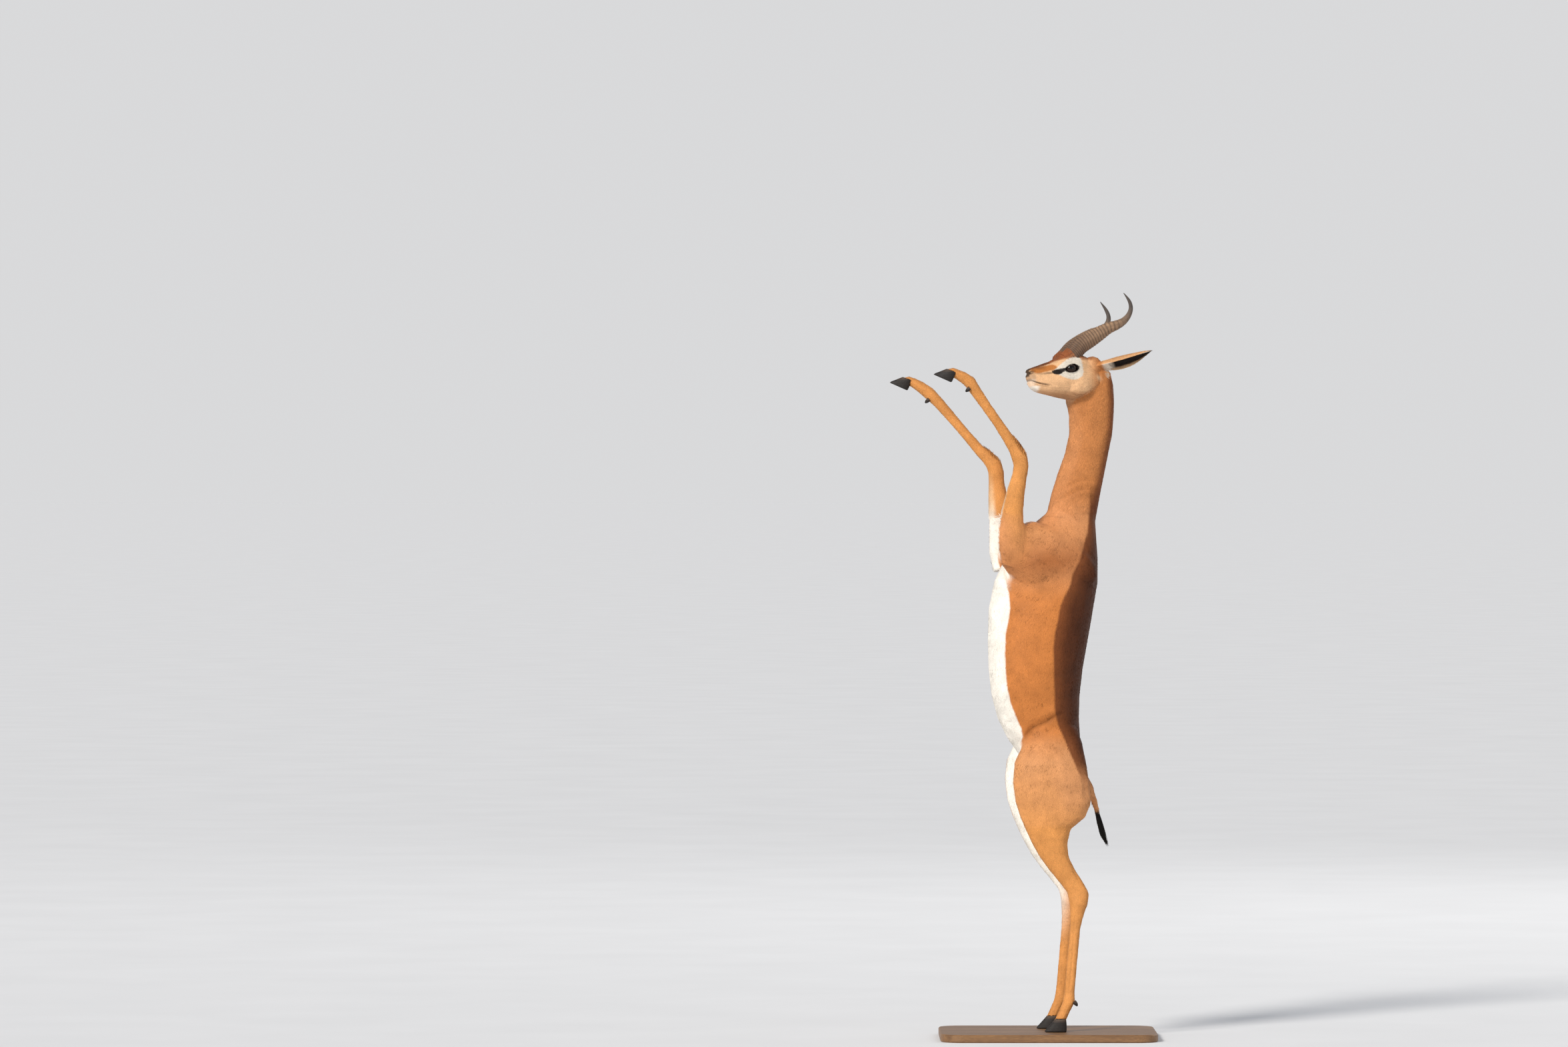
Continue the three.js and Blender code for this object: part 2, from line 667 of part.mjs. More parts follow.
// Where the body is parted: the middle of the cut, the way it faces, half its size
const pointOn = (rows, t) => V(...between(rows, t).slice(0, 3));
const earCut = (side) => {
  const { root, axis, out } = earFrame(side);
  return [root.clone().addScaledVector(axis, 30).addScaledVector(out, -4), axis, 29];
};
const legCut = (side, row, half) => {
  const [a, b] = [pointOn(FORELEG[side], row - 0.3), pointOn(FORELEG[side], row + 0.3)];
  return [a.clone().lerp(b, 0.5), b.sub(a), half];
};
const hindCut = (side, z, half) => {
  const x = { 575: -10, 425: 45, 300: 60, 70: 37 }[z] + STEP_APART[side];
  return [V(x, side * 76, z), UP, half];
};
// The cut between the rump and the thighs, which slopes down from the groin to below the root of the tail.
const CROUP = { at: V(-4.6, 0, 709.4), facing: V(0.617, 0, 0.787).normalize(), slope: 38.1 };
const CUTS = [
  [V(110, -15, 1775), V(-0.55, 0, 0.835), 100],
  [V(50, 0, 1430), UP, 115],
  [CROUP.at, CROUP.facing, 153.5],
  [CROUP.at.clone().addScaledVector(CROUP.facing, -153.5), OUTWARD, 153.5, CROUP.slope],
  [V(118, 0, 640), V(0.3, 0, -0.95), 12.5],
  ...[LEFT, RIGHT].flatMap((side) => [
    legCut(side, 2.7, 54),
    legCut(side, 8.5, 30),
    legCut(side, 13.6, 27),
    hindCut(side, 575, 105),
    hindCut(side, 300, 40),
    hindCut(side, 70, 40),
    earCut(side),
  ]),
];
const pieces = CUTS.reduce((body, cut) => body.subtract(sheet(...cut)), hollowed).decompose();

// Each piece is known by a point inside it.
function piece(at) {
  const probe = ball(at, 1.5, 8);
  const found = pieces.filter((body) => body.intersect(probe).volume() > 0);
  if (found.length !== 1) throw new Error(`no single piece at ${at.toArray()}`);
  return largest(found[0]);
}

// The group

const COLOURS = {
  coat: "#c07a45",
  saddle: "#7d4a2c",
  tan: "#c98a55",
  hoof: "#2a2320",
  horn: "#4a3f37",
  eye: "#0d0a08",
  black: "#1c1613",
  stand: "#6b5a49",
};

const group = new THREE.Group();
group.name = "gerenuk";

function add(name, manifold, colour, roughness = 0.8) {
  const material = new THREE.MeshStandardMaterial({ color: colour, roughness, metalness: 0 });
  material.name = name;
  const mesh = new THREE.Mesh(geometryOf(largest(manifold)), material);
  mesh.name = name;
  group.add(mesh);
}

add("torso", piece(V(-20, 0, 1000)), COLOURS.saddle);
add("neck", piece(V(90, -5, 1600)), COLOURS.coat);
add("head", piece(inHead(40, 0, -20)), COLOURS.coat);
add("tail", piece(V(128, 0, 620)), COLOURS.coat);

for (const [side, name] of [[LEFT, "left"], [RIGHT, "right"]]) {
  const eye = ball(eyeMiddle(side), EYE.radius, SIDES.eye);
  const step = STEP_APART[side];
  add(`ear_${name}`, piece(earInside(side)), COLOURS.coat);
  add(`eye_${name}`, eye, COLOURS.eye, 0.1);
  add(`horn_${name}`, horn(side), COLOURS.horn, 0.55);

  const fore = (row) => pointOn(FORELEG[side], row);
  add(`forearm_${name}`, piece(fore(4)), COLOURS.tan);
  add(`fore_cannon_${name}`, piece(fore(11)), COLOURS.tan);
  add(`fore_pastern_${name}`, piece(fore(15)), COLOURS.tan);

  add(`thigh_${name}`, piece(V(-20, side * 78, 690)), COLOURS.coat);
  add(`shank_${name}`, piece(V(-5 + step, side * 76, 500)), COLOURS.tan);
  add(`hind_cannon_${name}`, piece(V(50 + step, side * 74, 190)), COLOURS.tan);
  add(`hind_pastern_${name}`, piece(V(28 + step, side * 75, 55)), COLOURS.tan);

  for (const [i, where] of ["outer", "inner"].entries()) {
    add(`hind_hoof_${where}_${name}`, hindToes(side)[i], COLOURS.hoof, 0.45);
    add(`fore_hoof_${where}_${name}`, foreToes(side)[i], COLOURS.hoof, 0.45);
    add(`hind_dewclaw_${where}_${name}`, hindDewclaws(side)[i], COLOURS.hoof, 0.5);
    add(`fore_dewclaw_${where}_${name}`, foreDewclaws(side)[i], COLOURS.hoof, 0.5);
  }
}

// The tuft: tapered locks round a core, all hanging from the end of the tail.
function tuft() {
  const top = V(133.05, 0, 561.6);
  const way = V(0.41, 0, -0.91);
  const core = [
    top,
    top.clone().add(V(0.8, 0, -7)),
    ...[22, 46, 62].map((f) => top.clone().addScaledVector(way, f)),
  ];
  const locks = Array.from({ length: 5 }, (_, i) => {
    const a = (2 * Math.PI * i) / 5;
    const away = V(Math.cos(a), Math.sin(a), 0);
    const points = [11, 26, 42, 56 - 4 * (i % 3)].map((f, k) =>
      top.clone().addScaledVector(way, f).addScaledVector(away, [3, 6, 7, 6][k]),
    );
    return bar(points, [3, 4.4, 3.2, 0.6], { sides: 5, front: OUTWARD });
  });
  return union([bar(core, [6, 7, 9, 6, 0.8], { sides: 8, front: OUTWARD }), ...locks]);
}
add("tail_tuft", tuft(), COLOURS.black);

// The stand: a flat plate with rounded corners under the hind hooves.
function stand() {
  const [l, w, r] = [BASE.length / 2 - BASE.bevel, BASE.width / 2 - BASE.bevel, BASE.corner];
  const plan = new THREE.Shape();
  plan.moveTo(-l + r, -w);
  plan.lineTo(l - r, -w).absarc(l - r, -w + r, r, -Math.PI / 2, 0);
  plan.lineTo(l, w - r).absarc(l - r, w - r, r, 0, Math.PI / 2);
  plan.lineTo(-l + r, w).absarc(-l + r, w - r, r, Math.PI / 2, Math.PI);
  plan.lineTo(-l, -w + r).absarc(-l + r, -w + r, r, Math.PI, 1.5 * Math.PI);
  const depth = BASE.thickness - 2 * BASE.bevel;
  const geometry = new THREE.ExtrudeGeometry(plan, {
    depth, curveSegments: 5, bevelSize: BASE.bevel, bevelThickness: BASE.bevel, bevelSegments: 1,
  });
  return outwards(indexed(geometry.translate(BASE.x, 0, BASE.bevel - BASE.thickness - CUT)));
}
add("stand_base", stand(), COLOURS.stand, 0.6);

// The origin is the middle of the footprint, at the floor.
const box = new THREE.Box3().setFromObject(group);
const middle = box.getCenter(V(0, 0, 0));
for (const mesh of group.children) mesh.geometry.translate(-middle.x, -middle.y, -box.min.z);

export default group;
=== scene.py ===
# %% [markdown]
# # A gerenuk reared up to browse
# This notebook dresses a life-size gerenuk, a long-necked antelope, that stands on its hind legs. Its
# solid parts come ready made as a fixed frame, in metres. Here they get one unbroken skin, a short coat,
# wet eyes, ringed horns, hooves and an oiled board to stand on, and then a camera and soft lights.

# %% Load the frame
import math

import bmesh
import bpy
import numpy as np
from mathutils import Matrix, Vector
from mathutils.bvhtree import BVHTree


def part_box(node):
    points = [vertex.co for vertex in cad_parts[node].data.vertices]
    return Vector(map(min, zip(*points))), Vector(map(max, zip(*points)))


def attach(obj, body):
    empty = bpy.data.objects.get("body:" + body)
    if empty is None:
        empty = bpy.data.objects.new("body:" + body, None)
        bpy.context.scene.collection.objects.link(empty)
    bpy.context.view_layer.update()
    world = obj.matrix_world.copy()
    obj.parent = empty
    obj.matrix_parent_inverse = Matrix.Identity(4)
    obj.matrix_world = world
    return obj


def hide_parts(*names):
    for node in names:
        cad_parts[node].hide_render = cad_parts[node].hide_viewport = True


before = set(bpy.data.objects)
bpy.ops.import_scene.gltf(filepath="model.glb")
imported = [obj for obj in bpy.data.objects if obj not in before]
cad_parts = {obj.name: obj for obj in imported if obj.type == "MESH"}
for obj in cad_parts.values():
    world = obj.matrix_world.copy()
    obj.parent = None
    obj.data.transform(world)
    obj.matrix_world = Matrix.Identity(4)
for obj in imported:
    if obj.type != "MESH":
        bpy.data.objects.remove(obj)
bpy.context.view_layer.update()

# %% [markdown]
# ## Where things are
# Anatomy is easiest to write down in two sets of millimetres. One is the body's: X backwards from a plumb
# line through the trunk, Y to the animal's right, and Z up from the soles. The other is the head's: ahead
# of the eyes, to the right and up, because the head is turned to the left and leans a little. Both are
# worked out from pieces of the frame.

# %% The body's own millimetres
SIDES = {"left": -1, "right": 1}
MM = 0.001
base_low, base_high = (np.array(corner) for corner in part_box("stand_base"))
PLUMB_LINE = 10  # mm, how far the plumb line stands behind the middle of the board
origin = np.array([(base_low[0] + base_high[0]) / 2 + PLUMB_LINE * MM, 0, base_high[2] + 0.3 * MM])


def body(x, y, z):
    """A place in the body's millimetres, as metres in the frame."""
    return origin + np.array([x, y, z]) * MM


def body_mm(points):
    """Points of the frame in the body's millimetres."""
    return (points - origin) / MM


def unit(vectors):
    """Vectors made one long."""
    return vectors / np.maximum(np.linalg.norm(vectors, axis=-1, keepdims=True), 1e-12)


def middle(node):
    """The middle of a node's box."""
    low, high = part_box(node)
    return (np.array(low) + np.array(high)) / 2


# %% The head's own millimetres
HEAD_YAW = math.radians(25)
HEAD_RISE = 0.04  # how much the muzzle points up for each millimetre ahead
between_eyes = (middle("eye_left") + middle("eye_right")) / 2
ahead = unit(np.array([-math.cos(HEAD_YAW), -math.sin(HEAD_YAW), HEAD_RISE]))
across_eyes = middle("eye_right") - middle("eye_left")
right = unit(across_eyes - ahead * (across_eyes @ ahead))
up = np.cross(right, ahead)
head_axes = np.array([ahead, right, up])


def in_head(*place):
    """A place in the head's millimetres, as metres in the frame."""
    return between_eyes + np.array(place) @ head_axes * MM


def head_mm(points):
    """Points of the frame in the head's millimetres."""
    return (points - between_eyes) @ head_axes.T / MM


print("between the eyes:", between_eyes.round(4), "muzzle points", ahead.round(3))

# %% [markdown]
# ## Camera
# The picture was taken with a long lens from far away, so nothing is foreshortened. A 200 mm lens some 24
# m off does the same. One pixel of the picture is 1.85 mm at the animal, which gives both the distance
# and the point in the middle of the frame. The camera is a little above that point, at the height of the
# horizon, and looks down by a third of a degree.

# %% The camera at the picture's angle
PICTURE_WIDTH = 2349
PICTURE_HEIGHT = 1568
MM_PER_PIXEL = 1.85
PLUMB_PIXEL = 1575  # the column of the plumb line
SOLE_PIXEL = 1543  # the row of the soles
HORIZON_PIXEL = 705
LENS = 200
SENSOR = 36


def seen_at(column, row):
    """The place in the trunk's plane that a pixel of the picture shows."""
    return body((column - PLUMB_PIXEL) * MM_PER_PIXEL, 0, (SOLE_PIXEL - row) * MM_PER_PIXEL)


target = seen_at(PICTURE_WIDTH / 2, PICTURE_HEIGHT / 2)
distance = PICTURE_WIDTH * MM_PER_PIXEL * MM * LENS / SENSOR
camera_height = seen_at(PICTURE_WIDTH / 2, HORIZON_PIXEL)[2]
camera = bpy.data.objects.new("camera", bpy.data.cameras.new("camera"))
camera.data.lens = LENS
camera.data.sensor_width = SENSOR
camera.data.clip_end = 500
camera.location = (target[0], -distance, camera_height)
camera.rotation_euler = (Vector(target) - camera.location).to_track_quat("-Z", "Y").to_euler()
bpy.context.collection.objects.link(camera)
bpy.context.scene.camera = camera
print("camera", round(distance, 2), "m away, at height", round(camera_height, 3))

# %% [markdown]
# ## Tools for meshes
# A skin of half a million points is too much for loops, so its points are held in arrays, and every
# change is a sum over a whole array. A mesh goes in and out of Blender by its raw lists.


# %% Meshes as arrays
def read(items, name, width, kind=np.float32):
    """One value of every item in a mesh's list, as rows of an array."""
    values = np.empty(len(items) * width, kind)
    items.foreach_get(name, values)
    return values.reshape(-1, width)


def points_of(mesh):
    """The points of a mesh as an array."""
    return read(mesh.vertices, "co", 3).astype(float)


def normals_of(mesh):
    """The directions out of a mesh at its points."""
    return read(mesh.vertex_normals, "vector", 3).astype(float)


def edges_of(mesh):
    """The pairs of points that edges join."""
    return read(mesh.edges, "vertices", 2, np.int32)


def put_points(mesh, points):
    """Moves the points of a mesh."""
    mesh.vertices.foreach_set("co", points.astype(np.float32).ravel())
    mesh.update()


def make_object(name, points, faces):
    """A smooth mesh object from points and arrays of faces, each array with its own number of corners."""
    mesh = bpy.data.meshes.new(name)
    corners = np.concatenate([f.ravel() for f in faces])
    sizes = np.concatenate([np.full(len(f), f.shape[1]) for f in faces])
    mesh.vertices.add(len(points))
    mesh.loops.add(len(corners))
    mesh.polygons.add(len(sizes))
    mesh.vertices.foreach_set("co", np.asarray(points, np.float32).ravel())
    mesh.loops.foreach_set("vertex_index", corners.astype(np.int32))
    mesh.polygons.foreach_set("loop_start", np.concatenate([[0], np.cumsum(sizes)[:-1]]).astype(np.int32))
    mesh.polygons.foreach_set("use_smooth", np.ones(len(sizes), bool))
    mesh.update(calc_edges=True)
    made = bpy.data.objects.new(name, mesh)
    bpy.context.collection.objects.link(made)
    return made


def finished(source, name):
    """A new object with what the modifiers of a scratch object give. The scratch object goes."""
    mesh = bpy.data.meshes.new_from_object(source.evaluated_get(bpy.context.evaluated_depsgraph_get()))
    mesh.name = name
    made = bpy.data.objects.new(name, mesh)
    bpy.context.collection.objects.link(made)
    bpy.data.objects.remove(source)
    return made


def remeshed(mesh, name, voxel):
    """A closed mesh made over as one smooth-shaded surface of even little faces."""
    scratch = bpy.data.objects.new("scratch", mesh)
    bpy.context.collection.objects.link(scratch)
    remesh = scratch.modifiers.new("fuse", "REMESH")
    remesh.mode = "VOXEL"
    remesh.voxel_size = voxel
    made = finished(scratch, name)
    made.data.polygons.foreach_set("use_smooth", np.ones(len(made.data.polygons), bool))
    return made


def weighed(piece, name, values):
    """A vertex group of a piece, with a value from 0 to 1 at each point in steps of a tenth."""
    group = piece.vertex_groups.new(name=name)
    for level in range(1, 11):
        where = np.nonzero(np.round(values * 10) == level)[0]
        group.add(where.tolist(), level / 10, "REPLACE")
    return group.name


def closed_tube(rings, around):
    """The faces of a tube of rings, and of its two ends, which meet in the last two points."""
    i, j = np.meshgrid(np.arange(rings - 1), np.arange(around), indexing="ij")
    k = (j + 1) % around
    here, beyond = i * around, (i + 1) * around
    quads = np.stack([here + j, here + k, beyond + k, beyond + j], -1).reshape(-1, 4)
    j = np.arange(around)
    k = (j + 1) % around
    last = (rings - 1) * around
    low_end = np.stack([k, j, np.full(around, rings * around)], 1)
    high_end = np.stack([last + j, last + k, np.full(around, rings * around + 1)], 1)
    return quads, np.concatenate([low_end, high_end])


# %% Relaxing a surface or anything that is spread over it
def relax(values, edges, rounds, weights=1.0, keep_size=False, swell=0.53):
    """Draws each point's values towards its neighbours'. With keep_size it swells back each round."""
    values = values.copy()
    count = np.bincount(edges.ravel(), minlength=len(values)).clip(1)[:, None]
    for step in range(rounds * (2 if keep_size else 1)):
        total = np.empty_like(values)
        for k in range(values.shape[1]):
            total[:, k] = np.bincount(edges[:, 0], values[edges[:, 1], k], len(values))
            total[:, k] += np.bincount(edges[:, 1], values[edges[:, 0], k], len(values))
        pull = -swell if keep_size and step % 2 else 0.5
        values += pull * weights * (total / count - values)
    return values


def rise(value, start, end):
    """From 0 at start to 1 at end, smoothly."""
    t = np.clip((value - start) / (end - start), 0, 1)
    return t * t * (3 - 2 * t)


# %% [markdown]
# ## The skin's rough form
# The solids of the flesh are flat-sided and parted by hairline gaps. A sculptor would fuse such blocks
# and smooth them over. Here each solid is swollen by a third of a millimetre, so that the gaps close, and
# a voxel remesh makes one surface of them all. It is made twice: coarse, to be relaxed until the flats of
# the trunk, neck and thighs are gone, and fine, to carry the face, ears and feet.

# %% Fuse the solids of the flesh
NOT_FLESH = ("eye", "horn", "hoof", "dewclaw", "stand", "tuft")
SWELL = 0.35 * MM
flesh = sorted(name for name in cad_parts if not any(word in name for word in NOT_FLESH))
flesh_points, flesh_faces, face_part = [], [], []
for part, name in enumerate(flesh):
    solid = bmesh.new()
    solid.from_mesh(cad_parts[name].data)
    bmesh.ops.remove_doubles(solid, verts=solid.verts, dist=1e-6)
    solid.normal_update()
    solid.verts.index_update()
    start = len(flesh_points)
    flesh_points += [v.co + v.normal * SWELL for v in solid.verts]
    flesh_faces += [[v.index + start for v in face.verts] for face in solid.faces]
    face_part += [part] * len(solid.faces)
    solid.free()
blocks = bpy.data.meshes.new("blocks")
blocks.from_pydata(flesh_points, [], flesh_faces)
nearest_flesh = BVHTree.FromPolygons(flesh_points, flesh_faces)
face_part = np.array(face_part)
print("flesh:", len(flesh), "solids,", len(flesh_faces), "faces")

# %% One surface at two sizes of voxel
COARSE = 5 * MM
FINE = 1.7 * MM
BROAD_ROUNDS = 140
SEAM_ROUNDS = 24


def parts_of(points):
    """For each point, the number of the solid that it belongs to."""
    found = [nearest_flesh.find_nearest(p)[2] for p in points.tolist()]
    return face_part[np.array(found)]


def share(parts, **amounts):
    """An amount for each point, by words in its solid's name."""
    table = np.zeros(len(flesh))
    for part, name in enumerate(flesh):
        table[part] = next((amount for word, amount in amounts.items() if word in name), 0)
    return table[parts][:, None]


broad = remeshed(blocks.copy(), "broad", COARSE)
broad_points = points_of(broad.data)
broad_edges = edges_of(broad.data)
broad_parts = parts_of(broad_points)
BROAD_SHARE = {"torso": 1, "neck": 1, "thigh": 1, "shank": 0.8, "forearm": 0.8}
BROAD_SHARE.update({"cannon": 0.6, "tail": 0.6, "head": 0.25})
broad_weight = relax(share(broad_parts, **BROAD_SHARE), broad_edges, 6)
broad_points = relax(broad_points, broad_edges, BROAD_ROUNDS, broad_weight, keep_size=True, swell=0.515)
put_points(broad.data, broad_points)
print("broad form:", len(broad_points), "points")

# %% The fine surface takes the broad form where the body is broad
skin = remeshed(blocks.copy(), "skin", FINE)
skin_parts = parts_of(points_of(skin.data))
skin_edges = edges_of(skin.data)
take = share(skin_parts, torso=1, neck=1, thigh=1, shank=1, forearm=1, cannon=0.8, tail=0.8, head=0)
take = relax(take, skin_edges, 14)[:, 0]
wrap = skin.modifiers.new("broad", "SHRINKWRAP")
wrap.target = broad
wrap.vertex_group = weighed(skin, "broad", take)
skin = finished(skin, "skin")
bpy.data.objects.remove(broad)
skin_points = relax(points_of(skin.data), skin_edges, 5, 0.3 + 0.7 * take[:, None], keep_size=True)
seam = np.zeros((len(skin_points), 1))
for part, name in enumerate(flesh):
    if name in ("head", "neck", "torso", "tail") or "thigh" in name or "forearm" in name:
        near_part = relax((skin_parts == part)[:, None].astype(float), skin_edges, 40)
        seam = np.maximum(seam, 4 * near_part * (1 - near_part))
seam = np.clip(1.6 * seam, 0, 1)
skin_points = relax(skin_points, skin_edges, SEAM_ROUNDS, seam, keep_size=True, swell=0.51)
put_points(skin.data, skin_points)
print("fine skin:", len(skin_points), "points")

# %% [markdown]
# ## Sculpting
# Under a gerenuk's thin coat every large muscle shows: the blade and the triceps at the shoulder, the
# groove along the neck, the fold from the flank to the knee, the tendons of the shanks. Each is a line or
# a spot on the side of the body, with a width and a height, and pushes the skin in or out along its own
# direction with soft edges.

# %% Folds and swellings
def spaced(rows, count=24):
    """A smooth line through a few places, as evenly numbered points."""
    rows = np.array(rows, float)
    t = np.linspace(0, len(rows) - 1, count)
    i = np.minimum(t.astype(int), len(rows) - 2)
    f = (t - i)[:, None]
    a, b, c, d = (rows[np.clip(i + k, 0, len(rows) - 1)] for k in (-1, 0, 1, 2))
    tangents = f * (1 - f) ** 2 * (c - a) / 2 - f * f * (1 - f) * (d - b) / 2
    return b + (3 * f * f - 2 * f**3) * (c - b) + tangents


def beside(points, path):
    """How far each point is from a line, and how far along it that is, from 0 to 1."""
    best = np.full(len(points), np.inf)
    along = np.zeros(len(points))
    for k, (a, b) in enumerate(zip(path[:-1], path[1:])):
        t = np.clip((points - a) @ (b - a) / max((b - a) @ (b - a), 1e-9), 0, 1)
        gap = np.linalg.norm(points - a - t[:, None] * (b - a), axis=1)
        closer = gap < best
        best[closer] = gap[closer]
        along[closer] = (k + t[closer]) / (len(path) - 1)
    return best, along


def line(points, rows, width, height):
    """A ridge, or a crease where height is below 0, along a line. It fades out at both ends."""
    path = spaced(rows)
    lift = np.zeros(len(points))
    low, high = path.min(0) - 3 * width, path.max(0) + 3 * width
    near = np.nonzero(((points > low) & (points < high)).all(1))[0]
    gap, along = beside(points[near], path)
    lift[near] = height * np.exp(-((gap / width) ** 2)) * np.sin(math.pi * np.clip(along, 0.04, 0.96)) ** 0.5
    return lift


def spot(points, at, radii, degrees, height):
    """A swelling, or a hollow, of an oval shape. Its long side is turned in the first two directions."""
    turn = math.radians(degrees)
    gap = points - np.array(at, float)
    long = gap[:, 0] * math.cos(turn) + gap[:, 1] * math.sin(turn)
    short = gap[:, 1] * math.cos(turn) - gap[:, 0] * math.sin(turn)
    away = (long / radii[0]) ** 2 + (short / radii[1]) ** 2
    if len(radii) > 2:
        away = away + (gap[:, 2] / radii[2]) ** 2
    return height * np.exp(-away)


# %% The muscles and folds of the trunk, neck and legs
# Each line is X and Z on the side of the body, then its width and height. All in millimetres.
FLANK_FOLD = [(-74, 808), (-62, 832), (-40, 848), (-10, 860), (22, 876)]  # where it folds over the thigh
TRUNK_LINES = [
    ([(9, 1448), (46, 1430), (65, 1402), (82, 1370), (90, 1340), (88, 1312)], 8, -2.6),  # front of the blade
    ([(-20, 1452), (-36, 1430), (-62, 1418)], 6, -1.5),  # above the point of the shoulder
    ([(-148, 1262), (-122, 1222), (-84, 1196), (-40, 1192), (0, 1212)], 11, -3.2),  # under the triceps
    ([(0, 1212), (40, 1240), (76, 1268)], 12, -1.6),  # behind the blade
    ([(-96, 1352), (-60, 1330), (-14, 1326), (30, 1350)], 14, -1.6),  # between the blade and the triceps
    (FLANK_FOLD, 7, -7.0),
    ([(-80, 840), (-58, 864), (-24, 878), (14, 890)], 12, 3.4),  # the roll of skin above that fold
    ([(2, 866), (30, 850), (56, 812)], 9, -1.8),  # up to the point of the hip
    ([(-4, 812), (-10, 760), (4, 700), (22, 640), (30, 590)], 12, -2.4),  # groove down the thigh
    ([(52, 790), (66, 740), (72, 690), (66, 640)], 12, -1.6),  # groove behind it
    ([(-84, 1120), (-78, 1000), (-66, 930)], 30, 2.0),  # the edge of the ribs
    ([(-60, 905), (-20, 900), (30, 930)], 22, -2.2),  # the hollow of the flank
]
NECK_LINES = [
    ([(-2, 1470), (30, 1540), (62, 1620), (78, 1700)], 14, -1.8),  # groove of the great vein
    ([(16, 1462), (60, 1490), (100, 1500), (132, 1492)], 6, -0.9),  # folds where the neck meets the trunk
    ([(10, 1486), (48, 1510), (90, 1524), (124, 1518)], 6, -0.7),
    ([(60, 1470), (96, 1440), (118, 1400), (128, 1352)], 12, 1.4),  # the crest of the withers
]
HIND_LINES = [
    ([(58, 520), (76, 470), (92, 420), (97, 392)], 7, 1.6),  # the hock's great tendon
    ([(38, 520), (56, 470), (72, 425)], 6, -2.6),  # the hollow in front of it
    ([(62, 330), (58, 250), (52, 160), (46, 110)], 3.4, -1.4),  # between bone and tendons below the hock
]
TRUNK_SPOTS = [
    ((-62, 1268), (66, 48), 30, 3.0),  # triceps
    ((40, 1350), (60, 30), -48, 2.0),  # blade
    ((-40, 720), (60, 40), 80, 3.0),  # front of the thigh
    ((50, 700), (70, 30), 84, 2.2),  # back of the thigh
    ((76, 802), (24, 20), 0, 2.0),  # point of the hip
]

skin_normals = normals_of(skin.data)
skin_body = body_mm(skin_points)
side_view = skin_body[:, [0, 2]]
outer = rise(np.abs(skin_normals[:, 1]), 0.3, 0.75)
on_trunk = share(skin_parts, torso=1, neck=1, thigh=1, tail=1)[:, 0]
on_neck = share(skin_parts, torso=1, neck=1)[:, 0]
on_hind = share(skin_parts, thigh=1, shank=1, hind_cannon=1)[:, 0]
hip_side = np.abs(skin_body[:, 1]) > 30
lift = np.zeros(len(skin_points))
for lines, where in ((TRUNK_LINES, on_trunk), (NECK_LINES, on_neck), (HIND_LINES, on_hind * hip_side)):
    for rows, width, height in lines:
        lift += line(side_view, rows, width, height) * outer * where
for at, radii, degrees, height in TRUNK_SPOTS:
    lift += spot(side_view, at, radii, degrees, height) * outer * on_trunk
print("sculpted from", lift.min().round(2), "to", lift.max().round(2), "mm")

# %% [markdown]
# The head's forms are written in its own millimetres. The lids, lips and nostrils are there already in
# the fused solids, but softened. The skin deepens the nostrils and the line of the mouth again, and adds
# the hollow in front of the eye with its gland, the bony ridge of the cheek, the edge of the jaw muscle
# and the wings of the nostrils.

# %% The forms of the face
FACE_LINES = [
    ([(76, -8), (52, -14), (30, -20), (4, -26)], 5, 1.2),  # ridge of the cheek
    ([(8, -40), (-2, -60), (-18, -72)], 6, -1.6),  # front edge of the jaw muscle
    ([(60, -42), (50, -44), (42, -50)], 3, -1.2),  # fold behind the corner of the mouth
    ([(44, 4), (64, 0), (84, -6)], 5, -1.0),  # the hollow beside the bridge of the nose
    ([(22, 12), (6, 17), (-12, 15), (-22, 8)], 3, -1.2),  # crease above the upper lid
    ([(20, -11), (2, -17), (-16, -13)], 3, -0.9),  # crease under the lower lid
]
FACE_SPOTS = [
    ((32, -6), (8, 5), 20, -2.4),  # the gland in front of the eye
    ((-30, -42), (34, 26), 0, 1.6),  # jaw muscle
    ((106, -8), (6, 5), -30, 1.2),  # wing of the nostril
    ((-52, 2), (14, 12), 0, -1.4),  # the hollow of the temple
]
skin_head = head_mm(skin_points)
head_side = skin_head[:, [0, 2]]
sideways = rise(np.abs(skin_normals @ right), 0.2, 0.7)
on_head = share(skin_parts, head=1)[:, 0] * (skin_head[:, 0] > -80)
face_lift = np.zeros(len(skin_points))
for rows, width, height in FACE_LINES:
    face_lift += line(head_side, rows, width, height)
for at, radii, degrees, height in FACE_SPOTS:
    face_lift += spot(head_side, at, radii, degrees, height)
# Ahead and up, from the lips back
MOUTH = [(130, -27), (116, -32), (100, -39), (84, -43), (70, -45), (58, -46)]
NOSTRIL = [(122, 2.5, -11), (117, 9, -14), (111, 16, -11), (104, 20, -5)]  # ahead, to the side and up
NOSTRIL_RIM = [(109, 22, -2), (116, 17, -5), (121, 8, -5)]
LIP_GROOVE = [(124, 0, -18), (122, 0, -24), (120, 0, -31)]  # from the nose down to the lip


def one_side(head_places):
    """Places of the head with both of its sides laid over each other."""
    return np.abs(head_places) * [0, 1, 0] + head_places * [1, 0, 1]


mirrored = one_side(skin_head)
nose_lift = line(head_side, MOUTH, 2.0, -2.4) + line(mirrored, NOSTRIL, 3.0, -3.4)
nose_lift += line(mirrored, NOSTRIL_RIM, 3.0, 1.2)
nose_lift += line(mirrored, LIP_GROOVE, 1.6, -1.2)
lift += (face_lift * sideways + nose_lift) * on_head
face_lift *= on_head
print("the face from", face_lift.min().round(2), "to", face_lift.max().round(2), "mm")

# %% [markdown]
# The coat lies on the skin, so the skin sits inside the solids by the coat's depth: a little over two
# millimetres on the trunk and neck, one on the legs and less on the face and ears.

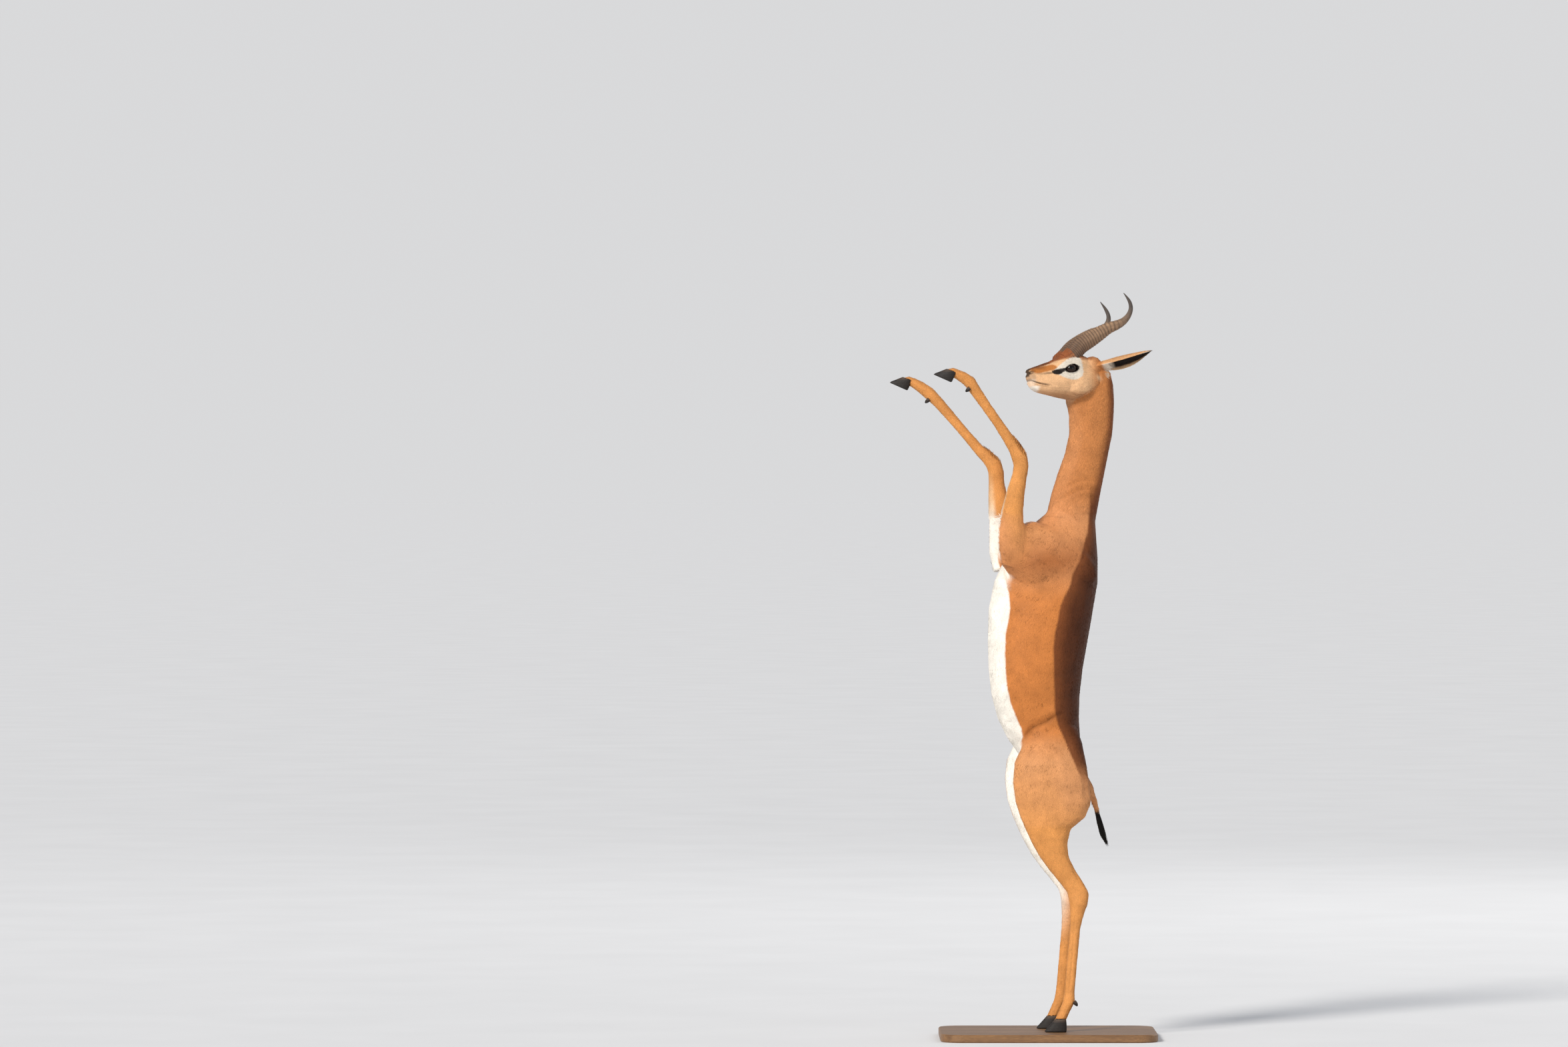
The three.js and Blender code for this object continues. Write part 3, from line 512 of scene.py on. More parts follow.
# %% Set the skin in by the depth of the coat
COAT_DEPTH = {"torso": 2.2, "neck": 2.0, "thigh": 2.0, "shank": 1.4, "forearm": 1.3, "head": 0.7}
COAT_DEPTH.update({"tail": 1.2, "cannon": 0.9, "pastern": 0.9, "ear_": 0.5})
depth = share(skin_parts, **COAT_DEPTH)
depth = relax(depth, skin_edges, 60)[:, 0]
skin_points += skin_normals * ((lift - depth - SWELL / MM) * MM)[:, None]
skin_points = relax(skin_points, skin_edges, 2, 0.6, keep_size=True)
put_points(skin.data, skin_points)

# %% Fewer faces where the body is broad
KEPT_FACES = 0.42


def across(rows, heights):
    """The X of a line down the side of the body at each height. The rows are X and Z, from the top down."""
    rows = np.array(rows, float)[::-1]
    return np.interp(heights, rows[:, 1], rows[:, 0])


# Where the white belly begins and where the dark saddle begins, so that there the faces stay small
BELLY_EDGE = [(-150, 1330), (-146, 1295), (-135, 1264), (-124, 1236), (-118, 1208), (-117, 1171)]
BELLY_EDGE += [(-122, 1134), (-128, 1097), (-130, 1042), (-128, 986), (-122, 940), (-115, 912)]
BELLY_EDGE += [(-104, 884), (-94, 860), (-84, 838), (-80, 815), (-92, 780), (-130, 740)]
SADDLE_EDGE = [(104, 1440), (98, 1380), (84, 1330), (74, 1301), (56, 1264), (46, 1227), (31, 1199)]
SADDLE_EDGE += [(22, 1180), (15, 1143), (7, 1106), (2, 1060), (4, 1005), (6, 894), (14, 850), (36, 800)]
SADDLE_EDGE += [(62, 740), (84, 690)]
DETAIL = {"head": 1, "ear_": 0.9, "pastern": 0.6, "cannon": 0.35, "forearm": 0.3, "shank": 0.25}
DETAIL.update({"tail": 0.3, "neck": 0.15})
detail = share(skin_parts, **DETAIL)
edge_x, edge_z = body_mm(skin_points)[:, [0, 2]].T
for rows in (BELLY_EDGE, SADDLE_EDGE):
    near_edge = 1 - rise(np.abs(edge_x - across(rows, edge_z)), 7, 16)
    near_edge *= share(skin_parts, torso=1, thigh=1)[:, 0] * (edge_z > 650) * (edge_z < 1460)
    detail = np.maximum(detail, 0.8 * near_edge[:, None])
detail = relax(detail, skin_edges, 8)[:, 0]
thin = skin.modifiers.new("thin", "DECIMATE")
thin.ratio = KEPT_FACES
thin.vertex_group = weighed(skin, "detail", detail)
thin.invert_vertex_group = True
thin.vertex_group_factor = 3
skin = finished(skin, "skin")
skin_points = points_of(skin.data)
skin_normals = normals_of(skin.data)
skin_edges = edges_of(skin.data)
skin_parts = parts_of(skin_points)
print("the skin keeps", len(skin_points), "points and", len(skin.data.polygons), "faces")
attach(skin, "root")
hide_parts(*flesh)

# %% [markdown]
# ## Markings
# A gerenuk is tan, with a dark red-brown saddle that starts on the nape and widens over the back, and a
# sharp edge between it and the paler flank. The belly, the brisket and the insides of the legs are white.
# The face has a white patch round the eye, a dark crown and bridge, and an orange band along the nose.
# Every mark is a smooth function of a place on the body. It gives each point of the skin its colour, and
# the tufts take theirs from the skin at their roots. In each fade the two numbers are where it starts and
# ends: millimetres of the body or the head, or how squarely the skin faces a direction.

# %% Colours of the coat
def linear(hex_colour):
    """An sRGB hex colour as the linear red, green and blue that Blender counts in."""
    shown = np.array([int(hex_colour[i : i + 2], 16) / 255 for i in (1, 3, 5)])
    return np.where(shown <= 0.04045, shown / 12.92, ((shown + 0.055) / 1.055) ** 2.4)


COAT = {
    "flank": "#bf753a",
    "neck": "#bb7843",
    "shoulder": "#cf9060",
    # a darker tan: painted shade under the triceps, and the darker backs of the ears
    "shade_and_ear_brown": "#8f4d20",
    "leg": "#d38f4e",
    "thigh": "#cb8d5c",
    # the saddle's colours: its own dark red-brown, darkened further by painted shade
    "saddle_and_shade": "#45200a",
    "saddle_edge": "#6c3919",
    "nape_and_shade": "#7a4020",
    "white": "#efe8dc",
    "cream": "#e2c7a3",
    "cheek": "#e0b184",
    "jaw_shade": "#b8855c",
    "crown": "#8c4f2c",
    "bridge": "#6e3f22",
    "band": "#b87236",
    "eye_patch": "#dcd1c1",
    "dark": "#1b120e",
    "ear": "#d09d6d",
    "knee": "#6b3a1b",
    "tail": "#15100d",
    "muzzle": "#8e7765",
}
COAT = {name: linear(colour) for name, colour in COAT.items()}


# %% Edges of the markings
def ragged(points, size, amount, seed):
    """A little unevenness for an edge, as waves of a few sizes in mixed directions."""
    draw = np.random.default_rng(seed)
    total = np.zeros(len(points))
    for k in range(6):
        way = unit(draw.normal(size=3)) * 2 * math.pi / (size * (1 + 0.7 * k))
        total += np.sin(points @ way + draw.uniform(0, 6.28)) / (6 - 0.6 * k)
    return total * amount


def within(outline, points, soft):
    """1 inside a closed outline in the plane, 0 outside, with a soft edge."""
    outline = spaced([*outline, outline[0]], 48)[:-1]
    inside = np.zeros(len(points), bool)
    gap = np.full(len(points), np.inf)
    for a, b in zip(outline, np.roll(outline, -1, 0)):
        crosses = (a[1] > points[:, 1]) != (b[1] > points[:, 1])
        rise_of_edge = b[1] - a[1] if b[1] != a[1] else 1e-9
        inside ^= crosses & (points[:, 0] < a[0] + (b[0] - a[0]) * (points[:, 1] - a[1]) / rise_of_edge)
        t = np.clip((points - a) @ (b - a) / ((b - a) @ (b - a)), 0, 1)
        gap = np.minimum(gap, np.linalg.norm(points - a - t[:, None] * (b - a), axis=1))
    return rise(np.where(inside, gap, -gap), -soft, soft)


# %% The coat's colour at any place of the body
KNEE = {"left": (-88, -90, 1614), "right": (-160, 90, 1595)}  # the middle of each brush of dark hair
skin_body = body_mm(skin_points)
skin_head = head_mm(skin_points)
x, y, z = skin_body.T
side = np.where(y < 0, -1.0, 1.0)
inward = -side * skin_normals[:, 1]
PARTS = ("torso", "neck", "head", "ear_", "tail", "forearm", "fore_cannon", "fore_pastern")
PARTS += ("thigh", "shank", "hind_cannon", "hind_pastern")
parts = {name: share(skin_parts, **{name: 1})[:, 0] for name in PARTS}
foreleg = parts["forearm"] + parts["fore_cannon"] + parts["fore_pastern"]
hindleg = parts["thigh"] + parts["shank"] + parts["hind_cannon"] + parts["hind_pastern"]
bare_leg = foreleg + parts["shank"] + parts["hind_cannon"] + parts["hind_pastern"]
soft_leg = relax(bare_leg[:, None], skin_edges, 40)[:, 0]
colour = np.tile(COAT["flank"], (len(skin_points), 1))


def paint(name, amount):
    """Lays a colour of the coat over what is there, as thickly as the amount says."""
    global colour
    amount = np.clip(amount, 0, 1)[:, None]
    colour = colour * (1 - amount) + COAT[name] * amount


paint("shoulder", rise(z, 1180, 1290) * (1 - rise(z, 1420, 1540)) * 0.7)
# Painted shade: a darker patch under the bulge of the triceps
shade_and_ear_brown = spot(skin_body[:, [0, 2]], (-14, 1300), (118, 46), 6, 1)
paint("shade_and_ear_brown", shade_and_ear_brown * parts["torso"] * 0.8)
paint("neck", rise(z, 1400, 1560) * (1 - foreleg) * rise(x, -60, -40))
# Painted light: the front of the neck is made paler, as where the sun falls on it
paint("shoulder", rise(-skin_normals[:, 0], 0.1, 0.8) * parts["neck"] * 0.5)
paint("thigh", rise(840 - z, 0, 80) * (1 - foreleg))
paint("leg", soft_leg)
edge_noise = ragged(skin_body, 26, 1.6, 5) + ragged(skin_body, 9, 0.6, 6)
trunk = np.clip(parts["torso"] + parts["thigh"] + parts["neck"], 0, 1)
saddle_and_shade = rise(x + edge_noise - across(SADDLE_EDGE, z), -4, 5) * rise(z, 650, 760) * (1 - rise(z, 1440, 1540))
# The saddle is a real marking; away from its edge it is darkened further by painted shade, as on the back
# turned from the sun
shade_past_edge = rise(x - across(SADDLE_EDGE, z), 6, 44)
paint("saddle_edge", saddle_and_shade * trunk * 0.95)
paint("saddle_and_shade", saddle_and_shade * trunk * shade_past_edge * (0.9 - 0.15 * rise(z, 1300, 1430)))
fold_shade = line(skin_body[:, [0, 2]], FLANK_FOLD, 7, 1)
paint("saddle_and_shade", fold_shade * trunk * rise(np.abs(skin_normals[:, 1]), 0.3, 0.8) * 0.35)
# The dark nape band, with painted shade on the side of the neck turned from the sun
nape_and_shade = rise(skin_normals @ np.array([0.97, 0, 0.2]), 0.35, 0.85) * parts["neck"] * rise(z, 1410, 1460)
paint("nape_and_shade", nape_and_shade * 0.8)

belly = rise(across(BELLY_EDGE, z) - x + edge_noise, -3, 3) * (parts["torso"] + parts["thigh"])
belly *= rise(z, 690, 760) * (1 - rise(z, 1325, 1345))
brisket = rise(60 - np.abs(y), 0, 14) * rise(-58 - x, 0, 12)
brisket *= rise(z, 1290, 1320) * (1 - rise(z, 1400, 1440))
paint("white", np.maximum(belly, brisket * parts["torso"]))
middle_line = rise(-skin_normals[:, 0], 0.5, 0.8) * rise(74 - np.abs(y), 0, 20)
middle_line *= rise(z, 600, 660) * (1 - rise(z, 1370, 1430))
paint("white", middle_line * (parts["torso"] + parts["thigh"]))
inner_hind = rise(inward, -0.12, 0.22) * hindleg * rise(70 - x, 0, 50)
inner_hind *= rise(z, 230, 420) * (1 - rise(z, 800, 840))
paint("white", inner_hind)
behind_leg = rise(-skin_normals[:, 0] + 0.9 * inward, 0.35, 0.9)
front_leg = rise(-skin_normals[:, 0] + 0.35 * inward, 0.45, 0.85)
inner_fore = front_leg * parts["forearm"] * (1 - rise(z, 1400, 1480)) * rise(z, 1230, 1300)
armpit = behind_leg * parts["torso"] * rise(z, 1290, 1340) * rise(-70 - x, 0, 20)
paint("white", np.maximum(inner_fore, armpit) * 0.95)
paint("cream", front_leg * parts["forearm"] * rise(z, 1400, 1450) * (1 - rise(z, 1470, 1560)) * 0.5)
buttock = rise(40 - np.abs(y), 0, 12) * rise(x, 50, 76) * rise(705 - z, 0, 26) * rise(z, 560, 600)
paint("white", buttock * parts["thigh"] * 0.9)
paint("tail", parts["tail"] * rise(616 - z, 0, 16))
knees = np.zeros(len(skin_points))
for name, sign in SIDES.items():
    on_leg = np.clip(parts["forearm"] + parts["fore_cannon"], 0, 1) * (side == sign)
    knees += spot(skin_body, KNEE[name], (13, 30, 20), 0, 1) * on_leg
front_of_knee = skin_normals[:, 0] + 0.3 * skin_normals[:, 2]
paint("knee", np.clip(1.4 * knees, 0, 1) * rise(front_of_knee, 0.2, 0.9) * 0.8)
print("painted the body; saddle covers", round(float((saddle_and_shade * trunk).mean()), 3), "of the points")

# %% The coat's colour on the face
a, w, u = skin_head.T
profile = skin_head[:, [0, 2]]
head_all = parts["head"]
beside_nose = rise(np.abs(skin_normals @ right), 0.35, 0.6)
on_top = rise(skin_normals @ up, 0.42, 0.72)
EYE_PATCH = [(50, -5), (30, 11), (10, 26), (-8, 33), (-28, 31), (-33, 14), (-33, -4), (-30, -18)]
EYE_PATCH += [(-15, -29), (3, -32), (21, -27), (38, -18)]
TEAR_MARK = [(17, 1), (30, 0), (49, -4), (54, -9), (49, -16), (38, -18), (27, -12), (18, -6)]
NOSE_BAND = [(118, -2), (96, 3), (70, 9), (48, 12), (40, 4), (52, -4), (74, -10), (100, -13)]
CROWN = [(58, 14), (40, 22), (22, 26), (8, 34), (-10, 44), (-26, 50), (-10, 74), (20, 64), (48, 40)]
face_noise = ragged(skin_head, 11, 1.2, 8)
wavy = profile + face_noise[:, None]
paint("cheek", head_all * rise(a, -90, -40))
# Painted shade: the underside of the jaw is darker
paint("jaw_shade", head_all * rise(-56 - u, 0, 16) * rise(100 - a, 0, 20) * 0.8)
paint("bridge", head_all * on_top * rise(118 - a, 0, 12) * rise(a, 20, 60))
paint("crown", head_all * rise(a, -80, -60) * rise(u, 22, 34) * (1 - rise(a, 30, 60)) * 0.85)
paint("crown", head_all * within(CROWN, wavy, 3) * 0.95)
paint("band", head_all * within(NOSE_BAND, wavy, 2.6) * (1 - 0.5 * on_top))
paint("bridge", head_all * rise(u, -6, 4) * rise(a, 58, 92) * rise(118 - a, 0, 12) * 0.75)
under_band = line(profile, [(104, -15), (84, -15), (66, -13), (50, -12)], 2.6, 1)
paint("dark", head_all * np.clip(1.2 * under_band, 0, 1) * (0.75 - 0.45 * rise(a, 54, 90)))
paint("eye_patch", head_all * within(EYE_PATCH, wavy, 1.6) * rise(np.abs(w), 14, 24))
paint("dark", head_all * within(TEAR_MARK, profile + 0.5 * face_noise[:, None], 1.5) * beside_nose)
lid_line = np.hypot((a + 0.2) / 20, (u + 0.16 * a) / 11.5)
paint("dark", head_all * (1 - rise(lid_line, 1.0, 1.16)) * rise(np.abs(w), 30, 40))
paint("muzzle", head_all * rise(a, 94, 106) * rise(-14 - u, 0, 8) * (1 - rise(-30 - u, 0, 6)) * 0.5)
lips = rise(-28 - u, 0, 6) * (1 - rise(-58 - u, 0, 8))
paint("white", head_all * lips * 0.35 * rise(a, 96, 108))
paint("white", head_all * rise(a, 84, 96) * rise(-46 - u, 0, 6) * 0.85)
mirrored = one_side(skin_head)
nose = rise(a, 107, 113) * rise(u, -25, -20) * (1 - rise(np.abs(w), 9, 14)) * (1 - rise(u, 0, 6))
nose = np.maximum(nose, np.clip(1.5 * line(mirrored, NOSTRIL, 4.6, 1), 0, 1))
nose = np.maximum(nose, line(mirrored, [(124, 0, -16), *LIP_GROOVE[1:]], 2.0, 0.8))
paint("dark", head_all * nose * 0.92)
paint("dark", head_all * np.clip(line(profile, MOUTH, 2.0, 1.2), 0, 1) * 0.8)
behind_cheek = spot(profile, (-84, -22), (9, 7), 30, 1) * (parts["head"] + parts["neck"])
paint("cream", behind_cheek * 0.55)
print("painted the face")

# %% The coat's colour on the ears
EAR_ROOT = (-89, 34, 6)  # ahead, to the side and up
EAR_WAY = (-0.767, 0.588, 0.257)
EAR_OPEN = (0.208, 0.381, -0.9)
EAR_HALF = [(-16, 15), (14, 17), (32, 20), (56, 23), (84, 22), (110, 17), (132, 10), (147, 4.5), (155, 1)]
ear_axes = {}
on_ear = np.zeros((len(skin_points), 3))  # along the ear, across it, and out of its opening, in mm
facing = np.zeros(len(skin_points))
for name, sign in SIDES.items():
    mirror = np.array([1, sign, 1])
    way = unit(np.array(EAR_WAY) * mirror @ head_axes)
    opening = np.array(EAR_OPEN) * mirror @ head_axes
    opening = unit(opening - way * (opening @ way))
    ear_axes[name] = np.array([way, np.cross(way, opening), opening])
    this_side = (w * sign) > 0
    gaps = (skin_points - in_head(*(np.array(EAR_ROOT) * mirror))) @ ear_axes[name].T / MM
    on_ear[this_side] = gaps[this_side]
    facing[this_side] = (skin_normals @ opening)[this_side]
along, aside, deep = on_ear.T
ear_base = parts["head"] * rise(along, 8, 20) * (np.abs(aside) < 26) * (deep < 24)
ear_share = np.clip(parts["ear_"] + ear_base, 0, 1)
ear_half = np.interp(along, *np.array(EAR_HALF).T)
edge_of_ear = np.abs(aside) / ear_half
paint("ear", ear_share)
# the back of each ear is darker, in the same brown
paint("shade_and_ear_brown", ear_share * rise(-facing, 0.2, 0.9) * rise(along, 20, 120) * 0.5)
ear_aside = np.zeros((len(skin_points), 3))
for name, sign in SIDES.items():
    ear_aside[(w * sign) > 0] = ear_axes[name][1]
rimward = aside * np.sign(ear_aside @ up) / ear_half  # 1 at the upper rim, -1 at the lower one
dark_from = 0.05 + 0.6 * rise(along, 50, 135)
open_side = ear_share * rise(facing, -0.15, 0.35) * rise(along, 26, 36)
hollow = open_side * (1 - rise(rimward, dark_from - 0.06, dark_from + 0.06)) * rise(rimward, -0.9, -0.76)
white_strip = rise(rimward, dark_from - 0.1, dark_from)
white_strip *= 1 - rise(rimward, dark_from + 0.1, dark_from + 0.34)
paint("eye_patch", open_side * white_strip)
rims = ear_share * (1 - rise(rimward, -0.5, -0.3)) * rise(edge_of_ear, 0.7, 0.95)
rims *= rise(facing, -0.5, 0.1) * rise(along, 12, 30)
paint("cream", rims * 0.8)
paint("dark", hollow)
paint("dark", ear_share * rise(along, 138, 152) * 0.7)
paint("eye_patch", ear_share * rise(along, 2, 12) * (1 - rise(along, 34, 46)) * rise(facing, 0.1, 0.5) * 0.9)
print("painted the ears")

# %% Store the colour and the way the hairs lie
def store(mesh, name, kind, values):
    """Keeps a value for each point of a mesh, for its material to read."""
    layer = mesh.attributes.new(name, kind, "POINT")
    values = np.asarray(values, np.float32)
    if kind == "FLOAT_COLOR":
        values = np.concatenate([values, np.ones((len(values), 1), np.float32)], 1)
        layer.data.foreach_set("color", values.ravel())
    elif kind == "FLOAT_VECTOR":
        layer.data.foreach_set("vector", values.ravel())
    else:
        layer.data.foreach_set("value", values.ravel())


HAIR_WAY = {  # which way the hairs point on each part: away from the nose, and down each leg to the hoof
    "head": -0.95 * ahead - 0.15 * up,
    "neck": (-0.15, 0, -1),
    "torso": (-0.2, 0, -1),
    "thigh": (-0.1, 0, -1),
    "shank": (0.35, 0, -1),
    "hind_cannon": (-0.1, 0, -1),
    "hind_pastern": (-0.5, 0, -1),
    "tail": (0.15, 0, -1),
    "forearm_left": (0.05, 0, 1),
    "forearm_right": (-0.15, 0, 1),
    "fore_cannon": (-0.65, 0, 0.75),
    "fore_pastern": (-0.95, 0, 0.3),
    "ear_left": ear_axes["left"][0],
    "ear_right": ear_axes["right"][0],
}
ways = np.zeros((len(flesh), 3))
for part, name in enumerate(flesh):
    word = next(word for word in sorted(HAIR_WAY, key=len, reverse=True) if word in name)
    ways[part] = unit(np.array(HAIR_WAY[word], float))
lie = ways[skin_parts]
shoulder_turn = (parts["torso"] * rise(z, 1180, 1300) * rise(-10 - x, 0, 90))[:, None]
lie = lie * (1 - shoulder_turn) + unit(np.array([-1, 0, 0.35])) * shoulder_turn
lie = relax(lie, skin_edges, 40)
lie = unit(lie - skin_normals * (lie * skin_normals).sum(1, keepdims=True))
store(skin.data, "coat_colour", "FLOAT_COLOR", colour)
print("the hairs lie", lie.mean(0).round(2), "on the whole")

# %% [markdown]
# ## The material of the coat
# The coat is short, smooth hair. Hair is made of keratin, with an IOR near 1.55, and a bed of it scatters
# light, so it is rough with a faint sheen at grazing angles. Single hairs are a tenth of a millimetre
# thick, far too fine to show, so the bump draws small clumps about 1.5 mm across and 9 mm long, along the
# body. Two noises mottle the colour: one of about 40 mm, as light and dark hair mix on the body, and one
# of 2 mm for the dark hair tips that pepper the coat.


# %% One function that adds a node
def node(tree, kind, settings=None, **links):
    """Adds a node with its settings. Each link names an input and gives a value or another node's output."""
    made = tree.nodes.new(kind)
    for name, value in (settings or {}).items():
        setattr(made, name, value)
    for name, value in links.items():
        socket = made.inputs[int(name[1:])] if name[0] == "_" else made.inputs[name.replace("_", " ")]
        if isinstance(value, bpy.types.NodeSocket):
            tree.links.new(value, socket)
        else:
            socket.default_value = value
    return made


def times(tree, one, other):
    """Two outputs multiplied."""
    return node(tree, "ShaderNodeMath", {"operation": "MULTIPLY"}, _0=one, _1=other).outputs[0]


def noise(tree, place, scale, detail, roughness=0.5, distortion=0.0):
    """A cloudy noise over a place, from 0 to 1."""
    made = node(tree, "ShaderNodeTexNoise", Vector=place, Scale=scale, Detail=detail, Roughness=roughness)
    made.inputs["Distortion"].default_value = distortion
    return made.outputs["Fac"]


def fade(tree, value, start, end, low, high):
    """An output that goes from low to high while the value goes from start to end."""
    return node(tree, "ShaderNodeMapRange", _0=value, _1=start, _2=end, _3=low, _4=high).outputs[0]


def tint(tree, shader, stored, amount):
    """Gives a shader its piece's stored colour, made lighter or darker by an amount."""
    scaled = node(tree, "ShaderNodeVectorMath", {"operation": "SCALE"}, _0=stored, Scale=amount)
    tree.links.new(scaled.outputs[0], shader.inputs["Base Color"])


def bump(tree, shader, height, distance, strength):
    """Gives a shader the relief of a height. The distance is in metres."""
    relief = node(tree, "ShaderNodeBump", Height=height, Distance=distance, Strength=strength)
    tree.links.new(relief.outputs[0], shader.inputs["Normal"])


def new_material(name):
    """A material with an empty node tree, its shader and its output."""
    material = bpy.data.materials.new(name)
    material.use_nodes = True
    tree = material.node_tree
    tree.nodes.clear()
    shader = tree.nodes.new("ShaderNodeBsdfPrincipled")
    output = tree.nodes.new("ShaderNodeOutputMaterial")
    tree.links.new(shader.outputs["BSDF"], output.inputs["Surface"])
    return material, tree, shader


def put_on(piece, material):
    """Gives a piece one material."""
    piece.data.materials.clear()
    piece.data.materials.append(material)


# %% Short hair
HAIR_IOR = 1.55
CLUMP_WIDTH = 1.5  # mm
CLUMP_LENGTH = 9
MOTTLE = 40
PEPPER = 2


def coat_material(name, on_tufts):
    """Short hair, over the skin or as the tufts that stand on it."""
    material, tree, shader = new_material(name)
    place = node(tree, "ShaderNodeTexCoord").outputs["Object"]
    stored = node(tree, "ShaderNodeAttribute", {"attribute_name": "coat_colour"}).outputs["Color"]
    mottle = noise(tree, place, 1000 / MOTTLE, 3.0, 0.6)
    pepper = noise(tree, place, 1000 / PEPPER, 2.0, 0.7)
    patches = fade(tree, mottle, 0.3, 0.7, 0.86, 1.12)
    tips = fade(tree, pepper, 0.25, 0.75, 0.78, 1.18)
    amount = times(tree, patches, tips)
    tint(tree, shader, stored, amount)
    stretch = (1000 / CLUMP_WIDTH, 1000 / CLUMP_WIDTH, 1000 / CLUMP_LENGTH)
    along = node(tree, "ShaderNodeMapping", Vector=place, Scale=stretch)
    clumps = noise(tree, along.outputs[0], 1.0, 2.0, 0.55)
    depth_of_hair = 0.0004 if on_tufts else 0.0011
    bump(tree, shader, clumps, depth_of_hair, 0.8)
    rough = fade(tree, clumps, 0.3, 0.7, 0.5, 0.68)
    tree.links.new(rough, shader.inputs["Roughness"])
    shader.inputs["IOR"].default_value = HAIR_IOR
    shader.inputs["Specular IOR Level"].default_value = 0.16
    shader.inputs["Sheen Weight"].default_value = 0.03
    shader.inputs["Sheen Roughness"].default_value = 0.45
    shader.inputs["Sheen Tint"].default_value = (1.0, 0.86, 0.7, 1)
    return material


skin_material = coat_material("short_coat_on_skin", on_tufts=False)
put_on(skin, skin_material)
print("the coat:", len(skin_material.node_tree.nodes), "nodes")

# %% [markdown]
# ## Tufts
# Where short fur breaks the outline or catches the light, single tufts show. Particle hair can't be
# exported, so each tuft is a little solid blade of ten triangles: rooted a millimetre deep, as wide as a
# lock of hair in the middle, and drawn to a point. They are scattered over the skin by area with a seeded
# draw, lie along the body in the way of the hair and take the skin's colour at their roots. They are
# longest on the neck and trunk and shortest on the face.

# %% An unwrap of the skin for the tufts
PROXY_FACES = 7000
proxy = bpy.data.objects.new("proxy", skin.data.copy())
bpy.context.collection.objects.link(proxy)
coarser = proxy.modifiers.new("coarser", "DECIMATE")
coarser.ratio = PROXY_FACES / (2 * len(skin.data.polygons))
proxy = finished(proxy, "proxy")
bpy.context.view_layer.objects.active = proxy
proxy.select_set(True)
bpy.ops.object.mode_set(mode="EDIT")
bpy.ops.mesh.select_all(action="SELECT")
bpy.ops.uv.smart_project(angle_limit=math.radians(60), island_margin=0.004)
bpy.ops.object.mode_set(mode="OBJECT")
cage = bmesh.new()
cage.from_mesh(proxy.data)
bmesh.ops.triangulate(cage, faces=cage.faces)
cage.faces.ensure_lookup_table()
sheet = cage.loops.layers.uv.active
cage_tree = BVHTree.FromBMesh(cage)
cage_corners = np.array([[corner.vert.co for corner in face.loops] for face in cage.faces], float)
cage_uv = np.array([[corner[sheet].uv for corner in face.loops] for face in cage.faces], float)
cage.free()
bpy.data.objects.remove(proxy)


def unwrapped(points):
    """The place of each point on the unwrap of the skin."""
    found = np.array([cage_tree.find_nearest(p)[2] for p in points.tolist()])
    a, b, c = cage_corners[found].transpose(1, 0, 2)
    ab, ac, ap = b - a, c - a, points - a
    d = [(p * q).sum(1) for p, q in ((ab, ab), (ab, ac), (ac, ac), (ap, ab), (ap, ac))]
    size = np.maximum(d[0] * d[2] - d[1] * d[1], 1e-18)
    v = np.clip((d[2] * d[3] - d[1] * d[4]) / size, 0, 1)[:, None]
    t = np.clip((d[0] * d[4] - d[1] * d[3]) / size, 0, 1)[:, None]
    uv = cage_uv[found]
    return uv[:, 0] * (1 - v - t) + uv[:, 1] * v + uv[:, 2] * t


print("unwrap of the skin:", len(cage_uv), "faces")

# %% Roots, scattered over the skin by area
skin.data.calc_loop_triangles()
corners = read(skin.data.loop_triangles, "vertices", 3, np.int32)
edge_a = skin_points[corners[:, 1]] - skin_points[corners[:, 0]]
edge_b = skin_points[corners[:, 2]] - skin_points[corners[:, 0]]
corner_area = np.linalg.norm(np.cross(edge_a, edge_b), axis=1) / 2
BARE = ("eye", "horn", "hoof", "dewclaw")
BARE_GAP = 0.0022  # m, how far every root stays from the eyes, horns and hooves
KEPT_BARE = [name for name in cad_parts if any(word in name for word in BARE)]
bare_solids = []
for name in KEPT_BARE:
    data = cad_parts[name].data
    tree = BVHTree.FromPolygons([v.co for v in data.vertices], [list(f.vertices) for f in data.polygons])
    bare_solids.append((tree, *(np.array(corner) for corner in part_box(name))))
TUFT_UV = 0.003  # the size of a tuft's patch on the unwrap


def scattered(density, draw, count):
    """Roots on the skin, as faces and weights of their corners. The density has a number for each point."""
    chance = corner_area * density[corners].mean(1)
    face = draw.choice(len(corners), count, p=chance / chance.sum())
    s = np.sqrt(draw.random(count))
    t = draw.random(count)
    weights = np.stack([1 - s, s * (1 - t), s * t], 1)
    places = (skin_points[corners[face]] * weights[:, :, None]).sum(1)
    good = np.ones(count, bool)
    for tree, low, high in bare_solids:
        for k in np.nonzero(((places > low - 2 * BARE_GAP) & (places < high + 2 * BARE_GAP)).all(1))[0]:
            if tree.find_nearest(places[k].tolist(), BARE_GAP)[2] is not None:
                good[k] = False
    return face[good], weights[good]


def spread(values, face, weights):
    """A value of the skin's points at the roots."""
    return (values[corners[face]] * (weights[:, :, None] if values.ndim > 1 else weights)).sum(1)


def unwrap_onto(piece, uv):
    """Gives a piece its map for baking, with a place on the skin's unwrap for each of its points."""
    layer = piece.data.uv_layers.new(name="OFBake")
    index = read(piece.data.loops, "vertex_index", 1, np.int32)[:, 0]
    layer.data.foreach_set("uv", uv.reshape(-1, 2)[index].astype(np.float32).ravel())


BLADE_THICKNESS = 0.3  # mm
ROOT_DEPTH = 1.0
BLADE_POINTS = 7


def along_surface(ways, outward):
    """Directions laid flat on a surface."""
    return unit(ways - outward * (ways * outward).sum(1, keepdims=True))


